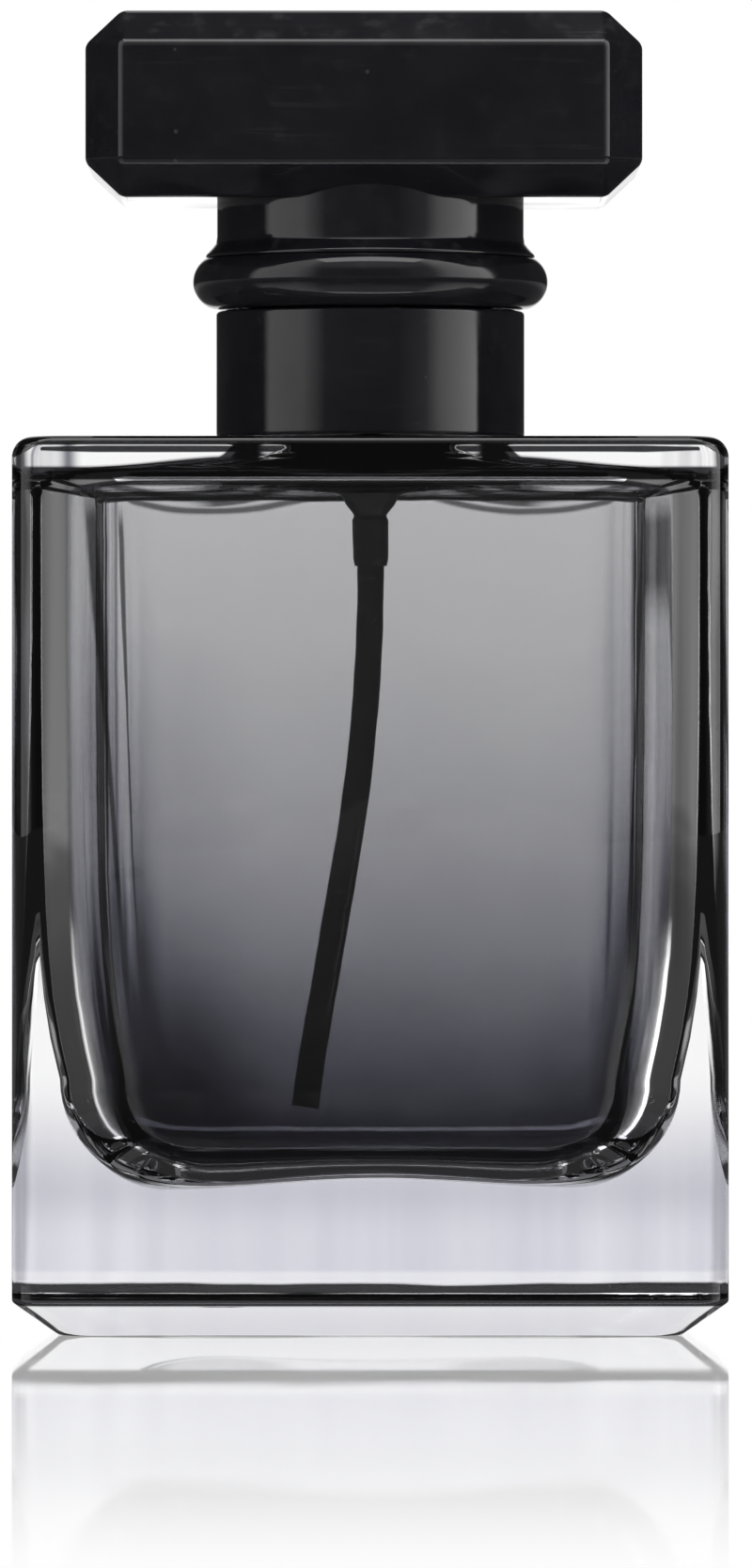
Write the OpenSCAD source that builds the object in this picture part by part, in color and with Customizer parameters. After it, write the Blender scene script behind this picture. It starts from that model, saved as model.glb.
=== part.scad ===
// Square glass aftershave atomiser: a heavy-based 50 ml bottle, a crimped fine-mist
// pump under a stepped collar, and a pull-off T-bar cap.
// Millimetres, +Z up, origin at the centre of the foot. The front faces -Y.

/* [Glass body] */
// Width of the glass body
body_w = 50; // [42:0.5:60]
// Depth of the glass body, front to back
body_d = 30; // [27:0.5:36]
// Height from the foot to the shoulder
body_h = 62.8; // [52:0.1:76]
// Rounding of the four upright edges
side_edge_r = 1.8; // [1.2:0.1:2.2]
// Rounding of the shoulder's edges
shoulder_edge_r = 1.0; // [0.6:0.1:1.8]
// Height of the bevel round the foot
foot_h = 2.7; // [1.5:0.1:3.5]
// How far the foot bevel runs in
foot_inset = 3.2; // [1.5:0.1:4]

/* [Reservoir] */
// Thickness of the glass base
base_t = 10.9; // [8:0.1:13]
// Thickness of the shoulder over the reservoir
shoulder_t = 2.6; // [2:0.1:3.2]
// Side wall at the base
side_wall_base = 3.3; // [2.5:0.1:4]
// Side wall at the shoulder
side_wall_top = 2.0; // [1.6:0.1:2.4]
// Front and back wall at the base
face_wall_base = 2.7; // [2.2:0.1:3.2]
// Front and back wall at the shoulder
face_wall_top = 2.0; // [1.6:0.1:2.4]
// Rounding of the reservoir's corners
reservoir_r = 5.5; // [4:0.1:6.5]

/* [Neck finish] */
// Diameter of the neck's crimp ring
neck_d = 15; // [13.5:0.1:16]
// Height of the neck above the shoulder
neck_h = 6.4; // [5.8:0.1:7.6]
// Height of the crimp ring
neck_ring_h = 3.4; // [2.8:0.1:4]
// Depth of the groove under the crimp ring
neck_groove = 0.8; // [0.6:0.05:1]
// Diameter of the bore through the neck
neck_bore_d = 9.6; // [8.4:0.1:10.4]

/* [Collar] */
// Outer diameter of the collar's skirt
collar_d = 21.8; // [20.6:0.1:24]
// Height of the collar's skirt
collar_h = 8.6; // [8:0.1:10]
// Gap between the shoulder and the collar
collar_gap = 0.6; // [0.3:0.1:1]
// Wall of the collar's skirt
collar_wall = 0.8; // [0.6:0.05:1]
// Height of the sleeve that the cap slides on
sleeve_h = 4.6; // [4.4:0.1:6]
// Wall of the sleeve
sleeve_wall = 0.6; // [0.4:0.05:0.8]
// Sheet thickness of the crimped ferrule
ferrule_t = 0.35; // [0.25:0.05:0.45]

/* [Pump] */
// Thickness of the neck gasket
gasket_t = 0.9; // [0.6:0.1:1.2]
// Outer diameter of the pump chamber
housing_d = 8; // [7.4:0.1:8.2]
// Diameter of the pump chamber's bore
chamber_d = 6; // [5.8:0.1:6.4]
// Length of the pump chamber's bore
chamber_l = 9.9; // [9.6:0.1:12]
// Diameter of the tail that holds the dip tube
tail_d = 2.5; // [2.4:0.1:3.2]
// Length of the dip tube's socket in the tail
socket_l = 3.2; // [2.5:0.1:5]
// Diameter of the stem
stem_d = 3.2; // [3:0.1:3.4]
// Diameter of the stem's bore
stem_bore_d = 1.4; // [1:0.1:1.6]
// Travel of the button
stroke = 3.5; // [2.8:0.1:3.6]
// Diameter of the inlet ball
ball_d = 1.5; // [1.3:0.05:1.55]
// Wire of the return spring
return_wire = 0.35; // [0.25:0.05:0.4]
// Turns of the return spring
return_turns = 5; // [3:0.5:5]
// Wire of the valve spring
valve_wire = 0.28; // [0.2:0.01:0.3]
// Turns of the valve spring
valve_turns = 3.5; // [3:0.5:4]

/* [Dip tube] */
// Outer diameter of the dip tube
tube_d = 1.9; // [1.6:0.05:2]
// Bore of the dip tube
tube_bore_d = 1.1; // [0.8:0.05:1.2]
// Radius that the tube curls to
tube_bend_r = 113; // [90:1:160]
// Lean of the tube's straight end, in degrees
tube_lean = 9.4; // [6:0.1:11]
// Height of the tube's end above the reservoir's floor
tube_end_gap = 4.7; // [2:0.1:8]

/* [Button] */
// Diameter of the button
button_d = 12; // [11:0.1:13]
// Height of the button
button_h = 7.3; // [6.8:0.1:7.8]
// Wall of the button's metal shell
button_shell_t = 0.35; // [0.25:0.05:0.5]
// Diameter of the nozzle insert
nozzle_d = 3.4; // [2.8:0.1:3.8]
// Diameter of the spray hole
spray_hole_d = 0.3; // [0.2:0.05:0.4]

/* [Cap] */
// Width of the T-bar
bar_w = 39; // [32:0.5:48]
// Depth of the T-bar, front to back
bar_d = 25.2; // [24.2:0.2:29]
// Height of the T-bar
bar_h = 13.1; // [12:0.1:16]
// Bevel of the T-bar along its width
bar_bevel_x = 2.8; // [1:0.1:4]
// Bevel of the T-bar along its depth
bar_bevel_y = 2.6; // [1:0.1:2.7]
// Bevel of the T-bar along its height
bar_bevel_z = 2.4; // [1:0.1:3.4]
// Outer diameter of the cap's neck
cap_neck_d = 21.7; // [21:0.1:23]
// Height of the cap's neck between the bead and the T-bar
cap_neck_h = 2.8; // [2:0.1:6]
// Largest diameter of the bead
bead_d = 25.1; // [24.4:0.1:27]
// Radius of the bead's round
bead_r = 2; // [1.9:0.05:2.2]
// Wall of the cap's inner liner
liner_wall = 0.8; // [0.6:0.05:0.9]
// Clear height over the button inside the cap
cap_headroom = 4.6; // [4.4:0.1:5.4]

/* [Fits] */
// Radial clearance of pieces that slide or turn on each other
running_gap = 0.05; // [0.03:0.01:0.08]
// Clearance between faces that close on each other
face_gap = 0.1; // [0.05:0.05:0.2]

/* [Hidden] */
$fn = 96;
eps = 0.01;
hull_fn = 32;

glass_tint = [0.62, 0.62, 0.67, 0.45];
gloss_black = [0.09, 0.09, 0.1];
satin_black = [0.13, 0.13, 0.14];
natural_plastic = [0.86, 0.86, 0.84];
spring_steel = [0.7, 0.7, 0.72];

// Heights of the fixed pieces, from the foot up
z_neck_top = body_h + neck_h;
flange_t = 0.8;
z_flange = z_neck_top + gasket_t;
z_chamber_top = z_flange + flange_t;
turret_t = 1.2;
z_turret_top = z_chamber_top + turret_t;
z_ferrule_top = z_turret_top + ferrule_t;
guide_h = 1.1;
z_guide_top = z_ferrule_top + guide_h;
z_collar = body_h + collar_gap;
z_ledge = z_collar + collar_h;
z_rim = z_ledge + sleeve_h;

// Radii of the neck and of what is stacked round it
neck_r = neck_d / 2;
neck_bore_r = neck_bore_d / 2;
groove_r = neck_r - neck_groove;
ferrule_in_r = neck_r + running_gap;
ferrule_r = ferrule_in_r + ferrule_t;
flange_r = neck_r - 0.4;
collar_r = collar_d / 2;
collar_in_r = collar_r - collar_wall;
sleeve_in_r = ferrule_r + 0.2;
sleeve_r = sleeve_in_r + sleeve_wall;

// Pump chamber and tail
chamber_r = chamber_d / 2;
housing_r = housing_d / 2;
z_floor = z_chamber_top - chamber_l;
ball_r = ball_d / 2;
pocket_r = ball_r + 0.2;
inlet_r = ball_r * 2 / 3;
pocket_l = 2.1;
z_seat_top = z_floor - pocket_l;
seat_h = 0.4;
z_seat = z_seat_top - seat_h;
inlet_l = 1.3;
z_socket_top = z_seat - inlet_l;
z_tail = z_socket_top - socket_l;
tail_r = tail_d / 2;
ball_lip_r = ball_r - 0.07;
ball_lip_z = z_seat_top + 1.3;
ball_lip_h = 0.3;

// The ball rests on the cone of its seat
seat_slope = atan2(pocket_r - inlet_r, seat_h);
z_seat_apex = z_seat - inlet_r / tan(seat_slope);
z_ball = z_seat_apex + (ball_r + 0.01) / sin(seat_slope);

// Stem, valve pin and piston at rest
stem_r = stem_d / 2;
stem_bore_r = stem_bore_d / 2;
shoulder_r = chamber_r - 0.4;
shoulder_h = 1;
z_shoulder_top = z_chamber_top - face_gap;
z_shoulder = z_shoulder_top - shoulder_h;
pin_r = 1;
pin_grip = 1.2;
z_stem = z_shoulder - pin_grip;
valve_lift = 0.5;
hub_h = 0.85;
z_hub_top = z_stem - valve_lift - running_gap;
z_hub = z_hub_top - hub_h;
z_pin_flange_top = z_hub - running_gap;
pin_flange_h = 0.5;
pin_flange_r = 2;
z_pin_flange = z_pin_flange_top - pin_flange_h;
pilot_r = 1.1;
pilot_l = 1.4;
lip_t = 0.4;
lip_l = 2.2;
lip_r = chamber_r - running_gap;

// Springs
return_r = 1.6;
valve_r = stem_r + valve_wire / 2 + 0.31;
wire_sides = 8;
turn_steps = 24;

// Facets of the dip tube, round it and along its bend
tube_sides = 24;
bend_steps = 8;

// Button
button_r = button_d / 2;
z_button = z_ferrule_top + stroke + 0.15;
z_button_top = z_button + button_h;
core_r = button_r - button_shell_t;
z_core = z_button + 0.3;
z_core_top = z_button_top - button_shell_t;
core_bevel_r = 0.7;
core_bevel_h = 0.3;
dish = 0.15;
z_boss = z_guide_top + stroke + face_gap;
boss_r = stem_r + 1.2;
stem_grip = 2.9;
z_stem_top = z_boss + stem_grip;
z_spray = z_stem_top + 0.75;
core_wall = 0.8;
nozzle_r = nozzle_d / 2;
nozzle_l = 2.4;
nozzle_face_t = 0.45;
post_r = nozzle_r - 0.75;
channel_r = 0.4;
gallery = 0.3;
nozzle_front = core_r + 0.1;

// Cap
liner_in_r = sleeve_r + running_gap;
liner_r = liner_in_r + liner_wall;
cap_in_r = liner_r + running_gap;
cap_neck_r = cap_neck_d / 2;
spigot_r = cap_in_r + 0.6;
z_bead = z_ledge + face_gap;
z_bead_mid = z_bead + bead_r;
z_bead_top = z_bead_mid + 1.7;
flare_lip_h = 0.17;
flare_h = 0.93;
flare_r = bead_d / 2 - bead_r + sqrt(pow(bead_r, 2) - pow(z_bead_top - z_bead_mid, 2)) + 0.1;
z_neck = z_bead_top + flare_lip_h + flare_h;
z_bar = z_neck + cap_neck_h;
z_bar_top = z_bar + bar_h;
neck_tenon = 1.9;
z_tenon = z_bar + neck_tenon;
z_liner = z_ledge + face_gap + 0.25;
z_liner_in = z_button_top + cap_headroom;
z_liner_top = z_liner_in + liner_wall;
z_cap_bore = z_liner_top + running_gap;

// A rectangle with rounded corners, drawn exactly from squares and circles
module rounded_rect(w, d, r) {
  square([w, d - 2 * r], center = true);
  square([w - 2 * r, d], center = true);
  for (sx = [-1, 1], sy = [-1, 1])
    translate([sx * (w / 2 - r), sy * (d / 2 - r)]) circle(r);
}

// Upright outline of the glass: bevelled foot, straight side, rounded shoulder
module body_outline(w) {
  polygon([
    [-w / 2 + foot_inset, 0], [w / 2 - foot_inset, 0], [w / 2, foot_h],
    [w / 2, body_h - shoulder_edge_r], [-w / 2, body_h - shoulder_edge_r], [-w / 2, foot_h]
  ]);
  translate([-w / 2 + shoulder_edge_r, body_h / 2])
    square([w - 2 * shoulder_edge_r, body_h / 2]);
  for (side = [-1, 1])
    translate([side * (w / 2 - shoulder_edge_r), body_h - shoulder_edge_r]) circle(shoulder_edge_r);
}

module glass_outside() {
  intersection() {
    linear_extrude(body_h) rounded_rect(body_w, body_d, side_edge_r);
    rotate([90, 0, 0]) linear_extrude(body_d + 2, center = true) body_outline(body_w);
    rotate([90, 0, 90]) linear_extrude(body_w + 2, center = true) body_outline(body_d);
  }
}

// Crimp ring with a groove under it, on a neck that flows out of the shoulder
module neck_outside() {
  z_ring = z_neck_top - neck_ring_h;
  rotate_extrude() polygon([
    [0, body_h - 1], [groove_r + 0.8, body_h - 1], [groove_r + 0.8, body_h],
    [groove_r, body_h + 0.5], [groove_r, z_ring - 0.6], [neck_r, z_ring],
    [neck_r, z_neck_top - 0.4], [neck_r - 0.4, z_neck_top], [0, z_neck_top]
  ]);
}

// The reservoir narrows downwards, so the walls thicken towards the base
module reservoir() {
  top_z = body_h - shoulder_t;
  top_round = 1.6;
  hull()
    for (sx = [-1, 1], sy = [-1, 1]) {
      base_x = body_w / 2 - side_wall_base - reservoir_r;
      base_y = body_d / 2 - face_wall_base - reservoir_r;
      top_x = body_w / 2 - side_wall_top - reservoir_r;
      top_y = body_d / 2 - face_wall_top - reservoir_r;
      translate([sx * base_x, sy * base_y, base_t + reservoir_r]) sphere(reservoir_r, $fn = hull_fn);
      translate([sx * top_x, sy * top_y, top_z - top_round]) cylinder(eps, r = reservoir_r, $fn = hull_fn);
      translate([sx * top_x, sy * top_y, top_z - top_round * 0.3])
        cylinder(eps, r = reservoir_r - top_round * 0.3, $fn = hull_fn);
      translate([sx * top_x, sy * top_y, top_z - eps])
        cylinder(eps, r = reservoir_r - top_round, $fn = hull_fn);
    }
}

module glass_bottle() {
  color(glass_tint) difference() {
    union() {
      glass_outside();
      neck_outside();
    }
    reservoir();
    translate([0, 0, body_h - shoulder_t - 1]) cylinder(neck_h + shoulder_t + 2, r = neck_bore_r);
  }
}

// A flat ring: gaskets and washers
module flat_ring(z, h, r_out, r_in) {
  translate([0, 0, z]) difference() {
    cylinder(h, r = r_out);
    translate([0, 0, -1]) cylinder(h + 2, r = r_in);
  }
}

module neck_gasket() {
  color(natural_plastic) flat_ring(z_neck_top, gasket_t, neck_r - 0.5, housing_r + running_gap);
}

// Metal cup that clamps the pump to the neck, its foot rolled in under the crimp ring
module ferrule() {
  foot_r = groove_r + 0.15;
  z_foot = z_neck_top - neck_ring_h - 1.2;
  hole_r = 3.2;
  color(spring_steel) rotate_extrude() polygon([
    [foot_r, z_foot], [ferrule_r - 0.3, z_foot], [ferrule_r, z_foot + 0.3],
    [ferrule_r, z_ferrule_top - 0.5], [ferrule_r - 0.5, z_ferrule_top], [hole_r, z_ferrule_top],
    [hole_r, z_turret_top], [ferrule_in_r, z_turret_top], [ferrule_in_r, z_foot + ferrule_t],
    [foot_r, z_foot + ferrule_t]
  ]);
}

// Plastic ring inside the collar: a lip at its foot snaps under the ferrule
module collar_liner() {
  z_bottom = z_collar + 0.4;
  z_top = z_ledge - collar_wall;
  snap_r = ferrule_r - 0.5;
  snap_h = 0.5;
  bore_r = ferrule_r + running_gap;
  color(satin_black) rotate_extrude() polygon([
    [snap_r, z_bottom], [collar_in_r, z_bottom], [collar_in_r, z_top], [bore_r, z_top],
    [bore_r, z_bottom + snap_h], [snap_r, z_bottom + snap_h]
  ]);
}

// Stepped collar: a skirt over the ferrule and a sleeve that the cap slides on
module collar() {
  rim_t = 0.6;
  rim_r = button_r + 0.3;
  soft = 0.25;
  color(gloss_black) rotate_extrude() polygon([
    [collar_in_r, z_collar], [collar_r - soft, z_collar], [collar_r, z_collar + soft],
    [collar_r, z_ledge - soft], [collar_r - soft, z_ledge], [sleeve_r, z_ledge],
    [sleeve_r, z_rim - soft], [sleeve_r - soft, z_rim], [rim_r, z_rim],
    [rim_r, z_rim - rim_t], [sleeve_in_r, z_rim - rim_t], [sleeve_in_r, z_ledge - collar_wall],
    [collar_in_r, z_ledge - collar_wall]
  ]);
}

// Chamber, inlet with the ball's seat, and the tail that grips the dip tube
module pump_housing() {
  cone_r = 1.95;
  tube_r = tube_d / 2;
  z_cone = z_floor - 1.2;
  z_cone_end = z_floor - 2.8;
  color(satin_black) rotate_extrude() polygon([
    [flange_r, z_chamber_top], [flange_r, z_flange], [housing_r, z_flange],
    [housing_r, z_floor - 0.2], [cone_r, z_cone], [tail_r, z_cone_end], [tail_r, z_tail],
    [tube_r, z_tail], [tube_r, z_socket_top], [inlet_r, z_socket_top], [inlet_r, z_seat],
    [pocket_r, z_seat_top], [pocket_r, ball_lip_z], [ball_lip_r, ball_lip_z],
    [ball_lip_r, ball_lip_z + ball_lip_h], [pocket_r, z_floor], [chamber_r, z_floor],
    [chamber_r, z_chamber_top]
  ]);
}

// Disc that closes the chamber and guides the stem
module turret() {
  recess_r = chamber_r + 0.4;
  recess_h = 0.5;
  guide_r = stem_r + running_gap;
  color(natural_plastic) rotate_extrude() polygon([
    [recess_r, z_chamber_top], [flange_r, z_chamber_top], [flange_r, z_turret_top],
    [guide_r + 0.7, z_turret_top], [guide_r + 0.7, z_guide_top], [guide_r, z_guide_top],
    [guide_r, z_chamber_top + recess_h], [recess_r, z_chamber_top + recess_h]
  ]);
}

module stem_gasket() {
  color(satin_black) flat_ring(z_chamber_top, 0.5, chamber_r + 0.4, stem_r + running_gap);
}

// The tube's centre line: how far it leans out and how high it is, and its slope there
function tube_station(a) = [-tube_bend_r * (1 - cos(a)), z_tail - tube_bend_r * sin(a), a];

// One ring of points across the tube, square to its centre line
function tube_ring(station, r) = [
  for (k = [0 : tube_sides - 1])
    let (a = 360 * k / tube_sides, lean = station[2])
      [station[0] + r * cos(a) * cos(lean), r * sin(a), station[1] + r * cos(a) * sin(lean)]
];

// Four-sided faces between matching rings, front or back side out
function ring_faces(first, next, flip) = [
  for (k = [0 : tube_sides - 1])
    let (m = (k + 1) % tube_sides, f = [first + k, first + m, next + m, next + k])
      flip ? [f[3], f[2], f[1], f[0]] : f
];

// Curled plastic tube: a straight end in the socket, a bend, and a straight lower end
module dip_tube() {
  bend = tube_station(tube_lean);
  z_end = base_t + tube_end_gap;
  stations = [
    [0, z_socket_top - 0.1, 0],
    for (i = [0 : bend_steps]) tube_station(tube_lean * i / bend_steps),
    [bend[0] - (bend[1] - z_end) * tan(tube_lean), z_end, tube_lean]
  ];
  last = len(stations) - 1;
  inner = len(stations) * tube_sides;
  points = [
    for (s = stations) each tube_ring(s, tube_d / 2),
    for (s = stations) each tube_ring(s, tube_bore_d / 2)
  ];
  faces = [
    for (i = [0 : last - 1]) each ring_faces(i * tube_sides, (i + 1) * tube_sides, false),
    for (i = [0 : last - 1]) each ring_faces(inner + i * tube_sides, inner + (i + 1) * tube_sides, true),
    each ring_faces(0, inner, true),
    each ring_faces(last * tube_sides, inner + last * tube_sides, false)
  ];
  color(gloss_black) polyhedron(points, faces);
}

module inlet_ball() {
  color(spring_steel) translate([0, 0, z_ball]) sphere(ball_r);
}

// One ring of points round the wire, at a turn angle and a height
function wire_ring(coil_r, wire_r, turn, z) = [
  for (k = [0 : wire_sides - 1])
    let (a = 360 * k / wire_sides, r = coil_r + wire_r * cos(a))
      [r * cos(turn), r * sin(turn), z + wire_r * sin(a)]
];

// Coil spring between two heights, with one flat dead turn at each end
module coil_spring(z0, z1, coil_r, wire, turns) {
  steps = round(turns * turn_steps);
  dead = turn_steps * 0.75;
  rise = z1 - z0 - 2 * wire;
  points = [
    for (i = [0 : steps])
      let (t = min(1, max(0, (i - dead) / (steps - 2 * dead))), lift = wire / 2 + t * (rise + wire))
        each wire_ring(coil_r, wire / 2, 360 * i / turn_steps, z0 + lift)
  ];
  sides = [
    for (i = [0 : steps - 1], k = [0 : wire_sides - 1])
      let (a = i * wire_sides + k, b = i * wire_sides + (k + 1) % wire_sides)
        [a, b, b + wire_sides, a + wire_sides]
  ];
  ends = [
    [for (k = [wire_sides - 1 : -1 : 0]) k],
    [for (k = [0 : wire_sides - 1]) steps * wire_sides + k]
  ];
  polyhedron(points, concat(sides, ends));
}

module return_spring() {
  color(spring_steel) coil_spring(z_floor, z_pin_flange, return_r, return_wire, return_turns);
}

// Pin that carries the piston: its flange is the outlet valve's seat
module valve_pin() {
  flow_slot = 0.5;
  color(natural_plastic) difference() {
    union() {
      translate([0, 0, z_pin_flange - pilot_l]) cylinder(pilot_l, r = pilot_r);
      translate([0, 0, z_pin_flange]) cylinder(pin_flange_h, r = pin_flange_r);
      translate([0, 0, z_pin_flange_top]) cylinder(z_shoulder - z_pin_flange_top, r = pin_r);
    }
    translate([-2, -flow_slot / 2, z_hub_top]) cube([4, flow_slot, 5]);
  }
}

// Piston with a wiping lip above and below its web
module piston() {
  web_t = 0.5;
  hub_r = 1.75;
  z_web = z_hub + 0.2;
  z_lip = z_web + web_t / 2 - lip_l / 2;
  color(natural_plastic) rotate_extrude() polygon([
    [pin_r + running_gap, z_hub], [hub_r, z_hub], [hub_r, z_web], [lip_r - lip_t, z_web],
    [lip_r - lip_t, z_lip], [lip_r, z_lip], [lip_r, z_lip + lip_l],
    [lip_r - lip_t, z_lip + lip_l], [lip_r - lip_t, z_web + web_t], [hub_r, z_web + web_t],
    [hub_r, z_hub_top], [pin_r + running_gap, z_hub_top]
  ]);
}

module valve_spring() {
  z_web_top = z_hub + 0.7;
  color(spring_steel) coil_spring(z_web_top, z_shoulder, valve_r, valve_wire, valve_turns);
}

module stem() {
  color(natural_plastic) difference() {
    union() {
      translate([0, 0, z_stem]) cylinder(z_stem_top - z_stem, r = stem_r);
      translate([0, 0, z_shoulder]) cylinder(shoulder_h, r = shoulder_r);
    }
    translate([0, 0, z_stem - 1]) cylinder(pin_grip + 1, r = pin_r);
    translate([0, 0, z_shoulder - eps]) cylinder(z_stem_top - z_shoulder + 1, r = stem_bore_r);
  }
}

// Core of the button: stem socket, cross channel and the pocket for the nozzle
module button_core() {
  z_channel = z_spray + post_r + channel_r;
  pocket_floor = nozzle_front - nozzle_l;
  color(satin_black) difference() {
    rotate_extrude() polygon([
      [0, z_core], [core_r, z_core], [core_r, z_core_top - core_bevel_h],
      [core_r - core_bevel_r, z_core_top], [0, z_core_top - dish]
    ]);
    // hollow round the stem's boss, open below
    translate([0, 0, z_core - 1]) difference() {
      cylinder(z_boss + stem_grip * 0.5 - z_core + 1, r = core_r - core_wall);
      translate([0, 0, z_boss - z_core + 1]) cylinder(10, r = boss_r);
    }
    translate([0, 0, z_boss - 1]) cylinder(stem_grip + 1 + face_gap, r = stem_r + running_gap);
    translate([0, 0, z_stem_top]) cylinder(z_channel - z_stem_top, r = stem_bore_r);
    // the channel enters the pocket beside the post
    translate([0, 0, z_channel]) rotate([90, 0, 0]) cylinder(pocket_floor + eps, r = channel_r);
    translate([0, -pocket_floor, z_spray]) rotate([90, 0, 0]) difference() {
      cylinder(nozzle_l + 1, r = nozzle_r);
      translate([0, 0, -1]) cylinder(nozzle_l - nozzle_face_t + 0.95, r = post_r);
    }
  }
}

// Thin metal cup over the core, with a round window for the nozzle
module button_shell() {
  color(gloss_black) difference() {
    rotate_extrude() polygon([
      [core_r, z_button], [button_r, z_button], [button_r, z_button_top - 0.6],
      [button_r - 0.2, z_button_top - 0.2], [button_r - 0.6, z_button_top],
      [0, z_button_top - dish], [0, z_core_top - dish],
      [core_r - core_bevel_r, z_core_top], [core_r, z_core_top - core_bevel_h]
    ]);
    translate([0, -core_r + 2, z_spray]) rotate([90, 0, 0]) cylinder(5, r = nozzle_r + 0.2);
  }
}

// Cup that sits over the swirl post, with the spray hole in its face
module nozzle_insert() {
  cup_l = nozzle_l - gallery;
  color(gloss_black) translate([0, -nozzle_front + cup_l, z_spray]) rotate([90, 0, 0]) difference() {
    cylinder(cup_l, r = nozzle_r);
    translate([0, 0, -1]) cylinder(cup_l - nozzle_face_t + 1, r = post_r + running_gap);
    cylinder(cup_l + 1, d = spray_hole_d);
    translate([0, 0, cup_l - 0.2]) cylinder(1, r1 = 0.5, r2 = 3);
  }
}

// Inner cup of the cap, which slides and turns on the collar's sleeve
module cap_liner() {
  lead_in = 0.3;
  color(satin_black) rotate_extrude() polygon([
    [liner_in_r + lead_in, z_liner], [liner_r, z_liner], [liner_r, z_liner_top],
    [0, z_liner_top], [0, z_liner_in], [liner_in_r, z_liner_in], [liner_in_r, z_liner + lead_in]
  ]);
}

// Neck of the cap: a tenon in the T-bar, a flared lip, and the spigot that holds the bead
module cap_neck() {
  color(gloss_black) rotate_extrude() polygon([
    [cap_in_r, z_bead + 0.2], [spigot_r, z_bead + 0.2], [spigot_r, z_bead_top],
    [flare_r, z_bead_top], [flare_r, z_bead_top + flare_lip_h], [cap_neck_r, z_neck],
    [cap_neck_r, z_tenon], [cap_in_r, z_tenon]
  ]);
}

module cap_bead() {
  color(gloss_black) rotate_extrude() intersection() {
    union() {
      translate([bead_d / 2 - bead_r, z_bead_mid]) circle(bead_r);
      translate([spigot_r - 1, z_bead]) square([bead_d / 2 - bead_r - spigot_r + 1, 2 * bead_r]);
    }
    translate([spigot_r, z_bead]) square([bead_d, z_bead_top - z_bead]);
  }
}

// Outline of a bevelled rectangle
module bevelled_rect(w, h, bevel_w, bevel_h) {
  x = w / 2;
  y = h / 2;
  polygon([
    [x - bevel_w, -y], [x, -y + bevel_h], [x, y - bevel_h], [x - bevel_w, y],
    [-x + bevel_w, y], [-x, y - bevel_h], [-x, -y + bevel_h], [-x + bevel_w, -y]
  ]);
}

// Emerald-cut block: every edge is bevelled where three bevelled outlines cross
module cap_bar() {
  color(gloss_black) difference() {
    translate([0, 0, z_bar + bar_h / 2]) intersection() {
      linear_extrude(bar_h, center = true) bevelled_rect(bar_w, bar_d, bar_bevel_x, bar_bevel_y);
      rotate([90, 0, 0]) linear_extrude(bar_d, center = true)
        bevelled_rect(bar_w, bar_h, bar_bevel_x, bar_bevel_z);
      rotate([90, 0, 90]) linear_extrude(bar_w, center = true)
        bevelled_rect(bar_d, bar_h, bar_bevel_y, bar_bevel_z);
    }
    translate([0, 0, z_bar - 1]) cylinder(neck_tenon + 1, r = cap_neck_r);
    translate([0, 0, z_bar]) cylinder(z_cap_bore - z_bar, r = cap_in_r);
  }
}

glass_bottle();
neck_gasket();
ferrule();
collar_liner();
collar();
pump_housing();
turret();
stem_gasket();
dip_tube();
inlet_ball();
return_spring();
valve_pin();
piston();
valve_spring();
stem();
button_core();
button_shell();
nozzle_insert();
cap_liner();
cap_neck();
cap_bead();
cap_bar();
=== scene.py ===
# %% [markdown]
# # An aftershave atomiser in smoked glass
# The bottle is a thick square block of clear glass. Only the inside of its reservoir is coated,
# with a smoke-grey lacquer that gets darker towards the foot. A moulded black collar hides the
# crimped pump, and a black T-bar cap with a bead pulls straight off it.
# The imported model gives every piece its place, so this script only adds the fine shapes, the
# finishes and the light.

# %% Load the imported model
import bpy
import bmesh
import itertools
import math
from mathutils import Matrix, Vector


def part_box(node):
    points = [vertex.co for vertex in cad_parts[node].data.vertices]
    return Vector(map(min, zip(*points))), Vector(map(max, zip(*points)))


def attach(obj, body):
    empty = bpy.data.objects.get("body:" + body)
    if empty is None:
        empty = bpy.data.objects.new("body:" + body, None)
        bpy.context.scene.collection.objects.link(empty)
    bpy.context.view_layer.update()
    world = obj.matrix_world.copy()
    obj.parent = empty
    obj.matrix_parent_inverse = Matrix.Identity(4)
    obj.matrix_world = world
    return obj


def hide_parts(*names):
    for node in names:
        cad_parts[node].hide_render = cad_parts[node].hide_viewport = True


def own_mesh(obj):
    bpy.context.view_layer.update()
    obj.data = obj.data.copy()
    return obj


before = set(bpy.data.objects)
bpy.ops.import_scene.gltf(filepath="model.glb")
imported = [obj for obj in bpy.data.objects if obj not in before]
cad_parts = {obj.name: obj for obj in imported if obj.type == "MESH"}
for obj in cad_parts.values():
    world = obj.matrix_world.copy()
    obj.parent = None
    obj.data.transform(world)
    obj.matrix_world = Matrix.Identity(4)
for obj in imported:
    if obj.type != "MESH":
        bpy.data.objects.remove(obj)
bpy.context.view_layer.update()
scene = bpy.context.scene
mm = 0.001

# %% [markdown]
# ## The camera
# A bottle is usually taken level, from far away, with a long lens. Then its upright edges stay
# parallel and only a sliver of the floor shows. A camera close by would make the cap look big.

# %% Camera
def placed(name, data):
    """Puts a mesh, a lamp or a camera in the scene as an object."""
    piece = bpy.data.objects.new(name, data)
    scene.collection.objects.link(piece)
    return piece


foot_low, glass_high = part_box("glass_bottle")
camera_data = bpy.data.cameras.new("camera")
camera = placed("camera", camera_data)
camera.location = (0.4 * mm, -931 * mm, 38.6 * mm)
camera.rotation_euler = (math.radians(90), 0, 0)
camera_data.lens = 302
camera_data.sensor_width = 36
camera_data.clip_start = 0.05
camera_data.clip_end = 50
scene.camera = camera
scene.view_settings.view_transform = "Standard"
print("camera at", [round(v, 3) for v in camera.location])


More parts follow.
